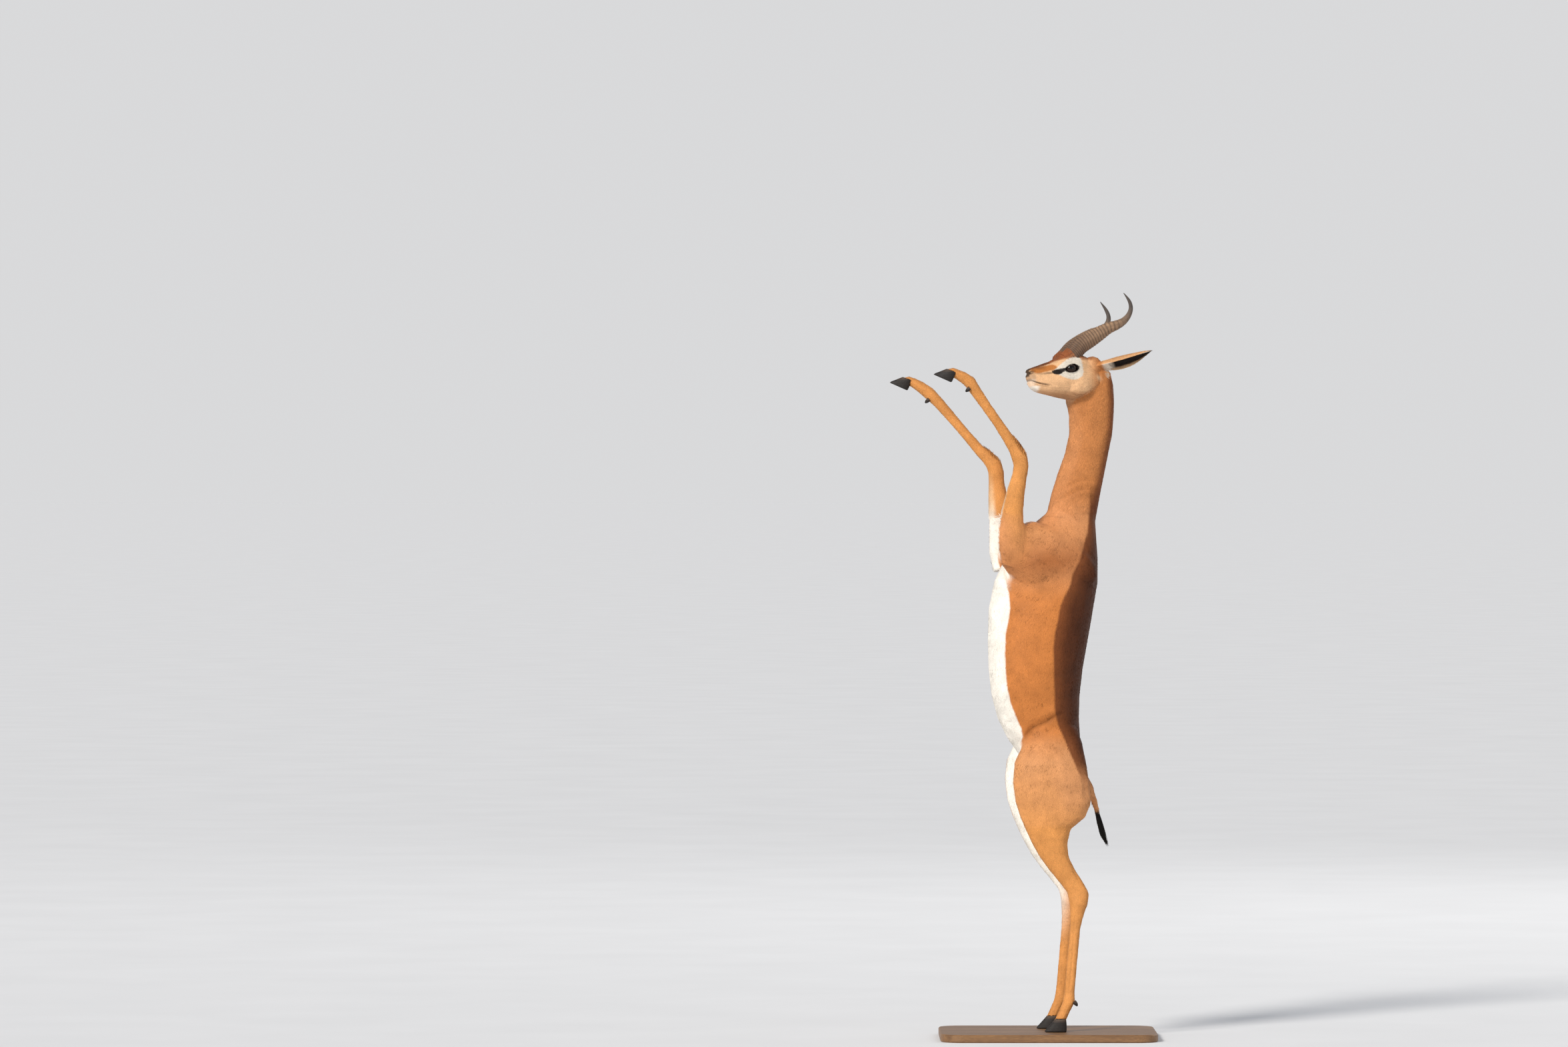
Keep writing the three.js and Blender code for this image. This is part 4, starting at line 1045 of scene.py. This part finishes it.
def blades(roots, outward, ways, length, width, lift):
    """Little pointed blades of seven points and seven faces. All sizes are arrays in mm."""
    aside = unit(np.cross(ways, outward))
    rows = []
    for along, height, wide in ((0.0, -ROOT_DEPTH * np.ones(len(roots)), 0.6), (0.45, 0.55 * lift, 1.0)):
        base = roots + ways * (along * length * MM)[:, None] + outward * (height * MM)[:, None]
        half = aside * (wide * width / 2 * MM)[:, None]
        rows += [base - half, base + outward * (BLADE_THICKNESS * MM), base + half]
    rows.append(roots + ways * (length * MM)[:, None] + outward * (lift * MM)[:, None])
    points = np.stack(rows, 1).reshape(-1, 3)
    first = np.arange(len(roots))[:, None] * BLADE_POINTS
    quads = np.concatenate([first + np.array(q) for q in ([0, 1, 4, 3], [1, 2, 5, 4], [2, 0, 3, 5])])
    threes = np.concatenate([first + np.array(t) for t in ([3, 4, 6], [4, 5, 6], [5, 3, 6], [2, 1, 0])])
    return points, [quads, threes]


def coat_piece(name, points, faces, colours, roots, outward, material):
    """One mesh of many tufts, shaded with the skin's own directions, or each would be a dark stroke."""
    piece = make_object(name, points, faces)
    uneven = 0.12 * np.random.default_rng(5).normal(size=points.shape)
    shading = unit(np.repeat(outward, BLADE_POINTS, axis=0) + uneven)
    piece.data.normals_split_custom_set_from_vertices(shading.tolist())
    store(piece.data, "coat_colour", "FLOAT_COLOR", colours)
    patch = np.array([[0, 0], [0.5, 0.2], [1, 0], [0, 0.6], [0.5, 0.7], [1, 0.6], [0.5, 1]]) - 0.5
    unwrap_onto(piece, unwrapped(roots)[:, None, :] + patch * TUFT_UV)
    put_on(piece, material)
    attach(piece, "root")
    return piece


SHADE_ALONG = np.array([0.96, 0.98, 0.96, 1.02, 1.05, 1.02, 1.12])


def shaded(colours, draw, unevenness=0.08):
    """Each tuft's own shade, darker at the root and lighter at the tip."""
    own = 1 + unevenness * draw.normal(size=(len(colours), 1, 1))
    return (colours[:, None, :] * own * SHADE_ALONG[None, :, None]).reshape(-1, 3).clip(0, 1)


# %% The tufts of each part
# Which parts, how many tufts, and their length, width and lift in millimetres
TUFTED = {
    "coat_torso": (("torso", "thigh", "tail"), 19500, 8.5, 1.6, 0.28),
    "coat_neck": (("neck",), 12000, 9, 1.5, 0.45),
    "coat_head": (("head", "ear_"), 18500, 5, 0.85, 0.3),
    "coat_forelegs": (("forearm", "fore_cannon", "fore_pastern"), 12000, 6.5, 1.1, 0.35),
    "coat_hindlegs": (("shank", "hind_cannon", "hind_pastern"), 14000, 6.5, 1.15, 0.28),
}
tuft_material = coat_material("short_coat_tufts", on_tufts=True)
muzzle_fade = 1 - 0.6 * rise(skin_head[:, 0], 20, 100)
for order, (name, (words, count, length, width, tuft_lift)) in enumerate(TUFTED.items()):
    draw = np.random.default_rng(100 + order)
    density = share(skin_parts, **{word: 1 for word in words})[:, 0]
    if name == "coat_head":
        density = density * (1 - hollow) * (1 - rise(skin_head[:, 0], 108, 112)) * (1.6 - muzzle_fade * 0.6)
        inside_mouth = line(profile, [(120, -30), (100, -38), (84, -42), (70, -44), (58, -45)], 2.4, 1)
        density = density * (1 - rise(inside_mouth, 0.2, 0.5))
    face, weights = scattered(density, draw, count)
    roots = spread(skin_points, face, weights)
    outward = unit(spread(skin_normals, face, weights))
    ways_there = spread(lie, face, weights) + 0.16 * draw.normal(size=roots.shape)
    ways_there = along_surface(ways_there, outward)
    sizes = np.clip(1 + 0.22 * draw.normal(size=len(roots)), 0.5, 1.6)
    if name == "coat_head":
        sizes = sizes * spread(muzzle_fade, face, weights)
    lifts = tuft_lift * sizes * draw.uniform(0.7, 1.3, len(roots))
    points, faces = blades(roots, outward, ways_there, length * sizes, width * sizes, lifts)
    tuft_colours = shaded(spread(colour, face, weights), draw)
    coat_piece(name, points, faces, tuft_colours, roots, outward, tuft_material)
    print(name, len(roots), "tufts,", sum(len(f) * (f.shape[1] - 2) for f in faces), "triangles")

# %% [markdown]
# Some hair is longer than the coat. White hair fringes the upper rim of each ear and leans over its dark
# hollow, a brush of dark hair stands on each knee of the forelegs, and the tail ends in a black tuft,
# whose locks start on the last stretch of the tail and close to a point.


# %% Longer hair: fringes of the ears and brushes of the knees
def long_tufts(name, where, count, seed, length, width, tuft_lift, turn=None, hue=None, shade=0.1):
    """More tufts where an amount for each point of the skin says, longer than the coat."""
    draw = np.random.default_rng(seed)
    face, weights = scattered(where, draw, count)
    roots = spread(skin_points, face, weights)
    outward = unit(spread(skin_normals, face, weights))
    ways_there = spread(lie if turn is None else turn, face, weights) + 0.14 * draw.normal(size=roots.shape)
    ways_there = along_surface(ways_there, outward)
    sizes = np.clip(1 + 0.25 * draw.normal(size=len(roots)), 0.5, 1.7)
    points, faces = blades(roots, outward, ways_there, length * sizes, width * sizes, tuft_lift * sizes)
    base = spread(colour, face, weights) if hue is None else np.tile(COAT[hue], (len(roots), 1))
    return coat_piece(name, points, faces, shaded(base, draw, shade), roots, outward, tuft_material)


inward_of_ear = -np.sign(aside)[:, None] * ear_aside
ear_along = np.where(w[:, None] > 0, ear_axes["right"][0], ear_axes["left"][0])
fringe_way = unit(0.62 * inward_of_ear + 0.78 * ear_along)
fringe_place = ear_share * rise(facing, -0.2, 0.2) * np.exp(-(((rimward - dark_from - 0.14) / 0.12) ** 2))
fringe_place = fringe_place * rise(along, 14, 30) * (1 - rise(along, 92, 120))
fringe = long_tufts("ear_fringe", fringe_place, 900, 11, 10, 1.0, 1.0, fringe_way, "eye_patch")
knee_place = np.clip(knees, 0, 1) * rise(front_of_knee, 0.3, 0.9)
knee_way = unit(lie + 0.35 * skin_normals)
brush = long_tufts("knee_brushes", knee_place, 1300, 12, 11, 1.5, 2.4, knee_way)
print("fringes", len(fringe.data.polygons), "faces, brushes", len(brush.data.polygons), "faces")

# %% The tail's tuft
TUFT_START = (133, 0, 562)
TUFT_WAY = unit(np.array([0.41, 0.0, -0.91]))
TUFT_LENGTH = 62
TAIL_LOCKS = 420
draw = np.random.default_rng(21)
tail_faces = corners[parts["tail"][corners].min(1) > 0]
tail_up = (body_mm(skin_points[tail_faces].mean(1)) - np.array(TUFT_START)) @ -TUFT_WAY
low_tail = tail_faces[tail_up < 40]
pick = low_tail[draw.integers(0, len(low_tail), TAIL_LOCKS)]
lock_roots = skin_points[pick].mean(1)
lock_out = unit(skin_normals[pick].mean(1))
root_up = (body_mm(lock_roots) - np.array(TUFT_START)) @ -TUFT_WAY
lock_tips = body(*TUFT_START) + TUFT_WAY * (TUFT_LENGTH * MM) * draw.uniform(0.45, 0.98, TAIL_LOCKS)[:, None]
tip_aside = draw.normal(size=(TAIL_LOCKS, 3)) * 2.2 * MM
lock_tips = lock_tips - TUFT_WAY * (0.35 * root_up * MM)[:, None] + tip_aside
LOCK_STEPS = 7
lock_points, lock_shades = [], []
t = np.linspace(0, 1, LOCK_STEPS)
bulge = np.sin(math.pi * t) * 3.4 * MM
for k in range(LOCK_STEPS):
    spine = lock_roots * (1 - t[k]) + lock_tips * t[k] + lock_out * bulge[k] - lock_out * (1 - t[k]) * 0.001
    half = unit(np.cross(TUFT_WAY, lock_out)) * (1.5 * MM * (1 - t[k]) ** 0.7 + 0.05 * MM)
    lock_points += [spine - half, spine + lock_out * (0.5 * MM * (1 - t[k]) + 0.03 * MM), spine + half]
    lock_shades += [0.9 + 0.3 * t[k]] * 3
lock_points = np.stack(lock_points, 1)
per_lock = lock_points.shape[1]
first = np.arange(TAIL_LOCKS)[:, None] * per_lock
lock_quads = []
for k in range(LOCK_STEPS - 1):
    for m in range(3):
        n = (m + 1) % 3
        lock_quads.append(first + np.array([3 * k + m, 3 * k + n, 3 * k + 3 + n, 3 * k + 3 + m]))
ends = [first + np.array([2, 1, 0]), first + np.array([per_lock - 3, per_lock - 2, per_lock - 1])]
lock_faces = [np.concatenate(lock_quads), np.concatenate(ends)]
tail_tuft = make_object("tail_locks", lock_points.reshape(-1, 3), lock_faces)
own = 1 + 0.2 * draw.normal(size=(TAIL_LOCKS, 1, 1))
lock_colours = COAT["tail"] * own * np.array(lock_shades)[None, :, None]
store(tail_tuft.data, "coat_colour", "FLOAT_COLOR", lock_colours.reshape(-1, 3).clip(0, 1))
lock_patch = np.stack([np.tile([0, 0.5, 1], LOCK_STEPS), np.repeat(t, 3)], 1) - 0.5
unwrap_onto(tail_tuft, unwrapped(lock_roots)[:, None, :] + lock_patch * TUFT_UV)
put_on(tail_tuft, tuft_material)
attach(tail_tuft, "root")
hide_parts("tail_tuft")
print("tail tuft:", TAIL_LOCKS, "locks")

# %% [markdown]
# ## Horns
# A gerenuk's horns are heavy and ringed for two thirds of their length and end in smooth hooked tips.
# Each is one tube round a smooth path. Its radius carries the rings, whose spacing grows from base to
# tip, with the fine lengthwise cracks of old horn. The colour is stored too: brown near the base and grey
# at the tip, with painted shade darkening the grooves near the base.

# %% Ringed horns
# Ahead, to the side, up, radius
HORN_ROWS = [(10, 22, 26, 21), (-15, 24, 45, 23), (-38, 27, 68, 23), (-65, 32, 86, 22.5)]
HORN_ROWS += [(-92, 38, 103, 20), (-117, 46, 118, 16), (-140, 53, 127, 13), (-159, 59, 138, 10)]
HORN_ROWS += [(-173, 64, 155, 7.5), (-178, 68, 174, 6), (-172, 71, 193, 4.6), (-156, 71, 214, 1)]
HORN_FLAT = 0.84
RING_SPACING = 7.6  # mm, in the middle of the horn
HORN_STEPS = 420
HORN_SIDES = 56


def horn_shape(sign):
    """The points, faces and colours of one horn."""
    rows = spaced(HORN_ROWS, HORN_STEPS + 1)
    rows = rows[np.linspace(0, HORN_STEPS, HORN_STEPS + 1) * (len(HORN_ROWS) - 1) / HORN_STEPS > 0.62]
    path = np.array([in_head(a, sign * w, u) for a, w, u, _ in rows])
    radius = rows[:, 3].copy()
    travelled = np.concatenate([[0], np.cumsum(np.linalg.norm(np.diff(path, axis=0), axis=1))]) / MM
    share_along = travelled / travelled[-1]
    tangent = unit(np.gradient(path, axis=0))
    front = unit(right * sign - tangent * (tangent @ (right * sign))[:, None])
    sideward = np.cross(tangent, front)
    angle = np.linspace(0, 2 * math.pi, HORN_SIDES, endpoint=False)
    ring_fade = 1 - rise(share_along, 0.56, 0.74)
    tilt = 0.5 * np.sin(angle + 0.8)  # a ring stands further up on one side
    phase = travelled[:, None] / (RING_SPACING * (0.7 + 0.62 * share_along))[:, None] + 0.35 * tilt[None, :]
    phase = phase + 0.05 * np.sin(3 * angle + 5)[None, :] + 0.12 * np.sin(travelled / 19)[:, None]
    wave = np.abs(np.sin(math.pi * phase)) ** 0.6
    strength = 0.55 + 0.45 * np.cos(angle + math.pi)[None, :] * 0.4 + 0.15 * np.sin(phase * 2.1)
    ridge = (wave - 0.72) * 2.4 * ring_fade[:, None] * strength * np.minimum(radius / 16, 1)[:, None]
    cracks = 0.16 * np.sin(angle * 13 + 2 * np.sin(travelled / 31)[:, None])
    cracks *= np.minimum(radius / 10, 1)[:, None]
    fine = 0.14 * np.sin(travelled / 0.9)[:, None] * ring_fade[:, None]
    spread_out = radius[:, None] + ridge + cracks + fine
    along_front = front[:, None, :] * (np.cos(angle)[None, :] * spread_out * HORN_FLAT * MM)[:, :, None]
    along_side = sideward[:, None, :] * (np.sin(angle)[None, :] * spread_out * MM)[:, :, None]
    points = (path[:, None, :] + along_front + along_side).reshape(-1, 3)
    points = np.concatenate([points, path[:1], path[-1:] + tangent[-1:] * 1.2 * MM])
    faces = closed_tube(len(path), HORN_SIDES)
    base, mid_tone, tip = (linear(c) for c in ("#6f5440", "#937459", "#4f4640"))
    t = share_along[:, None]
    tone = base * (1 - rise(t, 0.05, 0.4)) + mid_tone * (rise(t, 0.05, 0.4) - rise(t, 0.55, 0.85))
    tone = tone + tip * rise(t, 0.55, 0.85)
    # Painted shade: the grooves between the rings are darker, most near the base
    groove_shade = 1 - 0.7 * (1 - wave) * ring_fade[:, None]
    streak = 1 + 0.1 * np.sin(angle * 7 + 3 * np.sin(travelled / 47)[:, None])
    tones = (tone[:, None, :] * (groove_shade * streak)[:, :, None]).reshape(-1, 3)
    tones = np.concatenate([tones, tones[:1], tones[-1:]])
    if sign < 0:
        faces = [f[:, ::-1] for f in faces]
    return points, faces, tones


def horn_material():
    """Old horn: keratin with a dull polish, streaked along its length."""
    material, tree, shader = new_material("ringed_horn")
    place = node(tree, "ShaderNodeTexCoord").outputs["Object"]
    stored = node(tree, "ShaderNodeAttribute", {"attribute_name": "horn_colour"}).outputs["Color"]
    blotch = noise(tree, place, 60.0, 5.0, 0.65)
    flakes = noise(tree, place, 700.0, 3.0, 0.6)
    light = fade(tree, blotch, 0.3, 0.7, 0.78, 1.2)
    speck = fade(tree, flakes, 0.3, 0.7, 0.85, 1.12)
    amount = times(tree, light, speck)
    tint(tree, shader, stored, amount)
    rough = fade(tree, blotch, 0.3, 0.7, 0.52, 0.72)
    tree.links.new(rough, shader.inputs["Roughness"])
    bump(tree, shader, flakes, 0.0009, 0.8)
    shader.inputs["IOR"].default_value = 1.55
    shader.inputs["Specular IOR Level"].default_value = 0.35
    return material


horn_stuff = horn_material()
for name, sign in SIDES.items():
    points, faces, tones = horn_shape(sign)
    piece = make_object(f"ringed_horn_{name}", points, faces)
    store(piece.data, "horn_colour", "FLOAT_COLOR", tones)
    put_on(piece, horn_stuff)
    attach(piece, "root")
    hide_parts(f"horn_{name}")
print("horns:", len(points), "points each")

# %% [markdown]
# ## Eyes
# The eye of an antelope is a large ball, nearly black, with a broad dark brown iris and a pupil that lies
# level like a bar. The cornea bulges a little and is always wet, so the ball has a clear coat over the
# colours of the iris.

# %% Wet dark eyes
EYE_ASIDE = 33.5  # mm from the middle of the head
EYE_RADIUS = 17.85  # mm, just under the solid's
CORNEA = 1.1  # mm, how far it bulges
IRIS = 13.4  # mm, its radius
PUPIL = (8.2, 4.4)  # mm, half as long and half as high
EYE_RINGS = 72
EYE_AROUND = 96


def eye_shape(sign):
    """A ball whose pole looks out of the head, with a bulge for the cornea, and its colours."""
    look = unit(right * sign * 0.96 + ahead * 0.26 + up * 0.06)
    level = unit(ahead - look * (ahead @ look))
    upright = np.cross(look, level)
    polar = np.linspace(0, math.pi, EYE_RINGS)[1:-1]
    angle = np.linspace(0, 2 * math.pi, EYE_AROUND, endpoint=False)
    bulge = CORNEA * (1 - rise(polar, 0.1, 0.95))
    size = (EYE_RADIUS + bulge)[:, None]
    forward = (np.cos(polar)[:, None] * size * np.ones_like(angle)).ravel()[:, None]
    level_part = (np.sin(polar)[:, None] * size * np.cos(angle)).ravel()[:, None]
    upright_part = (np.sin(polar)[:, None] * size * np.sin(angle)).ravel()[:, None]
    local = look * forward + level * level_part + upright * upright_part
    poles = np.array([look * (EYE_RADIUS + CORNEA), -look * EYE_RADIUS])
    centre = in_head(0, sign * EYE_ASIDE, 0)
    points = centre + np.concatenate([local, poles]) * MM
    quads, ends = closed_tube(len(polar), EYE_AROUND)
    faces = [np.roll(quads[:, ::-1], 1, axis=1), np.roll(ends[:, ::-1], -1, axis=1)]
    reach = np.hypot(level_part, upright_part)[:, 0] + (forward[:, 0] < 0) * 40
    streaks = 0.5 + 0.5 * np.sin(np.arctan2(upright_part, level_part)[:, 0] * 23 + reach)
    white, iris, black = (linear(c) for c in ("#1c130f", "#25140b", "#050404"))
    tones = np.tile(white, (len(local), 1))
    in_iris = (1 - rise(reach, IRIS - 0.2, IRIS + 1.0))[:, None]
    tones = tones * (1 - in_iris) + iris * (0.75 + 0.35 * streaks[:, None]) * in_iris
    edge = np.exp(-(((reach - IRIS) / 0.9) ** 2))[:, None]
    tones = tones * (1 - 0.8 * edge)
    bar = np.hypot(level_part[:, 0] / PUPIL[0], upright_part[:, 0] / PUPIL[1]) + (forward[:, 0] < 0) * 9
    in_pupil = (1 - rise(bar, 0.92, 1.04))[:, None]
    tones = tones * (1 - in_pupil) + black * in_pupil
    tones = np.concatenate([tones, [black], [white]])
    if sign < 0:
        faces = [f[:, ::-1] for f in faces]
    return points, faces, tones


eye_stuff, tree, shader = new_material("wet_eye")
stored = node(tree, "ShaderNodeAttribute", {"attribute_name": "eye_colour"}).outputs["Color"]
place = node(tree, "ShaderNodeTexCoord").outputs["Object"]
fibres = noise(tree, place, 900.0, 3.0, 0.6)
light = fade(tree, fibres, 0.3, 0.7, 0.8, 1.2)
tint(tree, shader, stored, light)
shader.inputs["Roughness"].default_value = 0.12
shader.inputs["IOR"].default_value = 1.376
shader.inputs["Specular IOR Level"].default_value = 0.1
shader.inputs["Coat Weight"].default_value = 0.9
shader.inputs["Coat Roughness"].default_value = 0.03
shader.inputs["Coat IOR"].default_value = 1.336
for name, sign in SIDES.items():
    points, faces, tones = eye_shape(sign)
    piece = make_object(f"wet_eye_{name}", points, faces)
    store(piece.data, "eye_colour", "FLOAT_COLOR", tones)
    put_on(piece, eye_stuff)
    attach(piece, "root")
    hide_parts(f"eye_{name}")
print("eyes:", len(points), "points each")

# %% [markdown]
# ## Hooves
# The solids of the hooves and dewclaws have the right size and stance but flat facets. A voxel remesh and
# many rounds of relaxing round them as wear does, and rings of growth run parallel to the crown of the
# hoof. The horn of the hoof is near black, dusty where it meets the hair, and a little polished.


# %% Rounded hooves and dewclaws
def rounded(name, nodes, voxel, rounds):
    """Solids of the frame as one piece, with their facets and corners worn off."""
    points, faces = [], []
    for solid_name in nodes:
        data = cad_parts[solid_name].data
        start = len(points)
        points += [v.co.copy() for v in data.vertices]
        faces += [[v + start for v in f.vertices] for f in data.polygons]
    mesh = bpy.data.meshes.new("hard")
    mesh.from_pydata(points, [], faces)
    made = remeshed(mesh, name, voxel * MM)
    smooth = relax(points_of(made.data), edges_of(made.data), rounds, 1.0, keep_size=True, swell=0.5035)
    put_points(made.data, smooth)
    return made


hoof_nodes = sorted(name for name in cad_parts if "hoof" in name)
dewclaw_nodes = sorted(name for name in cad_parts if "dewclaw" in name)
HOOF_WEAR = (1.3, 170)  # the voxel in mm and the rounds of relaxing
DEWCLAW_WEAR = (0.8, 24)
hooves = rounded("worn_hooves", hoof_nodes, *HOOF_WEAR)
dewclaws = rounded("worn_dewclaws", dewclaw_nodes, *DEWCLAW_WEAR)
for piece, nodes in ((hooves, hoof_nodes), (dewclaws, dewclaw_nodes)):
    places = points_of(piece.data)
    rings = np.zeros(len(places))
    dust = np.zeros(len(places))
    for solid_name in nodes:
        low, high = (np.array(v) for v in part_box(solid_name))
        here = ((places > low - 0.002) & (places < high + 0.002)).all(1)
        from_top = (high[2] - places[here][:, 2]) / MM
        rings[here] = np.sin(from_top / 1.15 + 0.05 * (places[here][:, 0] - low[0]) / MM)
        dust[here] = 1 - rise(from_top, 0, 12)
    tones = linear("#1f1915") * (1 + 0.16 * rings)[:, None] * (1 - dust[:, None] * 0.5)
    tones = tones + linear("#6d5848") * (0.5 * dust)[:, None]
    store(piece.data, "horn_colour", "FLOAT_COLOR", tones.clip(0, 1))
    put_on(piece, horn_stuff)
    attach(piece, "root")
    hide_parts(*nodes)
print("hooves:", len(hooves.data.polygons), "faces, dewclaws:", len(dewclaws.data.polygons), "faces")

# %% [markdown]
# ## The board
# The animal stands on a low board of oiled oak, which is the only thing that isn't part of it. A warped
# noise drawn out along the plank stands for its growth rings, and a much finer one for its pores. The oil
# leaves a satin gloss.

# %% Oiled oak
oak, tree, shader = new_material("oiled_oak")
place = node(tree, "ShaderNodeTexCoord").outputs["Object"]
warp = node(tree, "ShaderNodeTexNoise", Vector=place, Scale=3.0, Detail=3.0)
stretched = node(tree, "ShaderNodeMapping", Vector=place, Scale=(2.4, 46.0, 46.0))
shifted = node(tree, "ShaderNodeVectorMath", {"operation": "MULTIPLY_ADD"}, _0=warp.outputs["Color"])
shifted.inputs[1].default_value = (0.6, 0.6, 0.6)
tree.links.new(stretched.outputs[0], shifted.inputs[2])
rings = noise(tree, shifted.outputs[0], 1.0, 6.0, 0.62, 0.5)
pore_way = node(tree, "ShaderNodeMapping", Vector=place, Scale=(60.0, 1600.0, 1600.0))
pores = noise(tree, pore_way.outputs[0], 1.0, 2.0)
mixed = times(tree, rings, pores)
grain = node(tree, "ShaderNodeValToRGB", Fac=mixed)
grain.color_ramp.elements[0].position = 0.12
grain.color_ramp.elements[0].color = (*linear("#5e4128"), 1)
grain.color_ramp.elements[1].position = 0.42
grain.color_ramp.elements[1].color = (*linear("#9a7248"), 1)
tree.links.new(grain.outputs["Color"], shader.inputs["Base Color"])
satin = fade(tree, mixed, 0.1, 0.7, 0.5, 0.36)
tree.links.new(satin, shader.inputs["Roughness"])
bump(tree, shader, mixed, 0.0003, 0.5)
put_on(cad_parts["stand_base"], oak)
print("board:", ((base_high - base_low) * 1000).round(0), "mm")

# %% [markdown]
# ## Floor and light
# A plain pale floor reaches to the horizon, and the pale sky over it has the floor's own brightness
# there, so that no line shows behind the animal. In the picture the sun is fairly high, on the camera's
# side and ahead of the animal. A broad soft lamp at that angle stands for it. It is a sun lamp, because
# that lights the whole floor alike. A weak panel on the other side and one behind draw the edges of the
# neck and back.

# %% A pale floor out to the horizon
FLOOR_HALF = 400.0
floor_corners = np.array([[-1, -1, 0], [1, -1, 0], [1, 1, 0], [-1, 1, 0]]) * FLOOR_HALF
floor = make_object("floor", floor_corners, [np.array([[0, 1, 2, 3]])])
plaster, tree, shader = new_material("pale_floor")
place = node(tree, "ShaderNodeTexCoord").outputs["Object"]
cloud = noise(tree, place, 2.0, 4.0)
pale = fade(tree, cloud, 0.2, 0.8, 0.74, 0.78)
tone = node(tree, "ShaderNodeCombineColor", Red=pale, Green=pale, Blue=pale)
tree.links.new(tone.outputs[0], shader.inputs["Base Color"])
shader.inputs["Roughness"].default_value = 1.0
shader.inputs["Specular IOR Level"].default_value = 0.0
put_on(floor, plaster)

# %% Soft light
SUN_FROM = (-0.5, -0.74, 0.54)  # towards the light
SUN_STRENGTH = 2.95
SUN_BREADTH = 13  # degrees
HORIZON = (0.6945, 0.6963, 0.7052)  # as bright as the floor
OVERHEAD = (0.40, 0.42, 0.46)
PANELS_AIM = (0, 0, 1.2)
world = bpy.data.worlds.new("pale_sky")
world.use_nodes = True
bpy.context.scene.world = world
tree = world.node_tree
tree.nodes.clear()
way_up = node(tree, "ShaderNodeSeparateXYZ", Vector=node(tree, "ShaderNodeTexCoord").outputs["Generated"])
height = fade(tree, way_up.outputs["Z"], 0.08, 0.5, 0.0, 1.0)
sky = node(tree, "ShaderNodeValToRGB", Fac=height)
sky.color_ramp.elements[0].color = (*HORIZON, 1)
sky.color_ramp.elements[1].color = (*OVERHEAD, 1)
background = node(tree, "ShaderNodeBackground", Color=sky.outputs["Color"], Strength=1.0)
tree.links.new(background.outputs[0], node(tree, "ShaderNodeOutputWorld").inputs["Surface"])
sun = bpy.data.lights.new("key", "SUN")
sun.energy = SUN_STRENGTH
sun.angle = math.radians(SUN_BREADTH)
sun.color = (1.0, 0.965, 0.915)
sun_object = bpy.data.objects.new("key", sun)
sun_object.rotation_euler = Vector(SUN_FROM).to_track_quat("Z", "Y").to_euler()
bpy.context.collection.objects.link(sun_object)
PANELS = {  # where it stands, how wide it is and its power in watts
    "fill": ((8.0, -7.0, 3.5), 5.0, 80),
    "rim": ((4.5, 8.0, 6.0), 4.0, 140),
}
for name, (where, size, power) in PANELS.items():
    lamp = bpy.data.lights.new(name, "AREA")
    lamp.size = size
    lamp.energy = power
    lamp_object = bpy.data.objects.new(name, lamp)
    lamp_object.location = where
    aim = Vector(PANELS_AIM) - lamp_object.location
    lamp_object.rotation_euler = aim.to_track_quat("-Z", "Y").to_euler()
    bpy.context.collection.objects.link(lamp_object)
bpy.context.scene.view_settings.view_transform = "Standard"
print("lights: key,", ", ".join(PANELS))
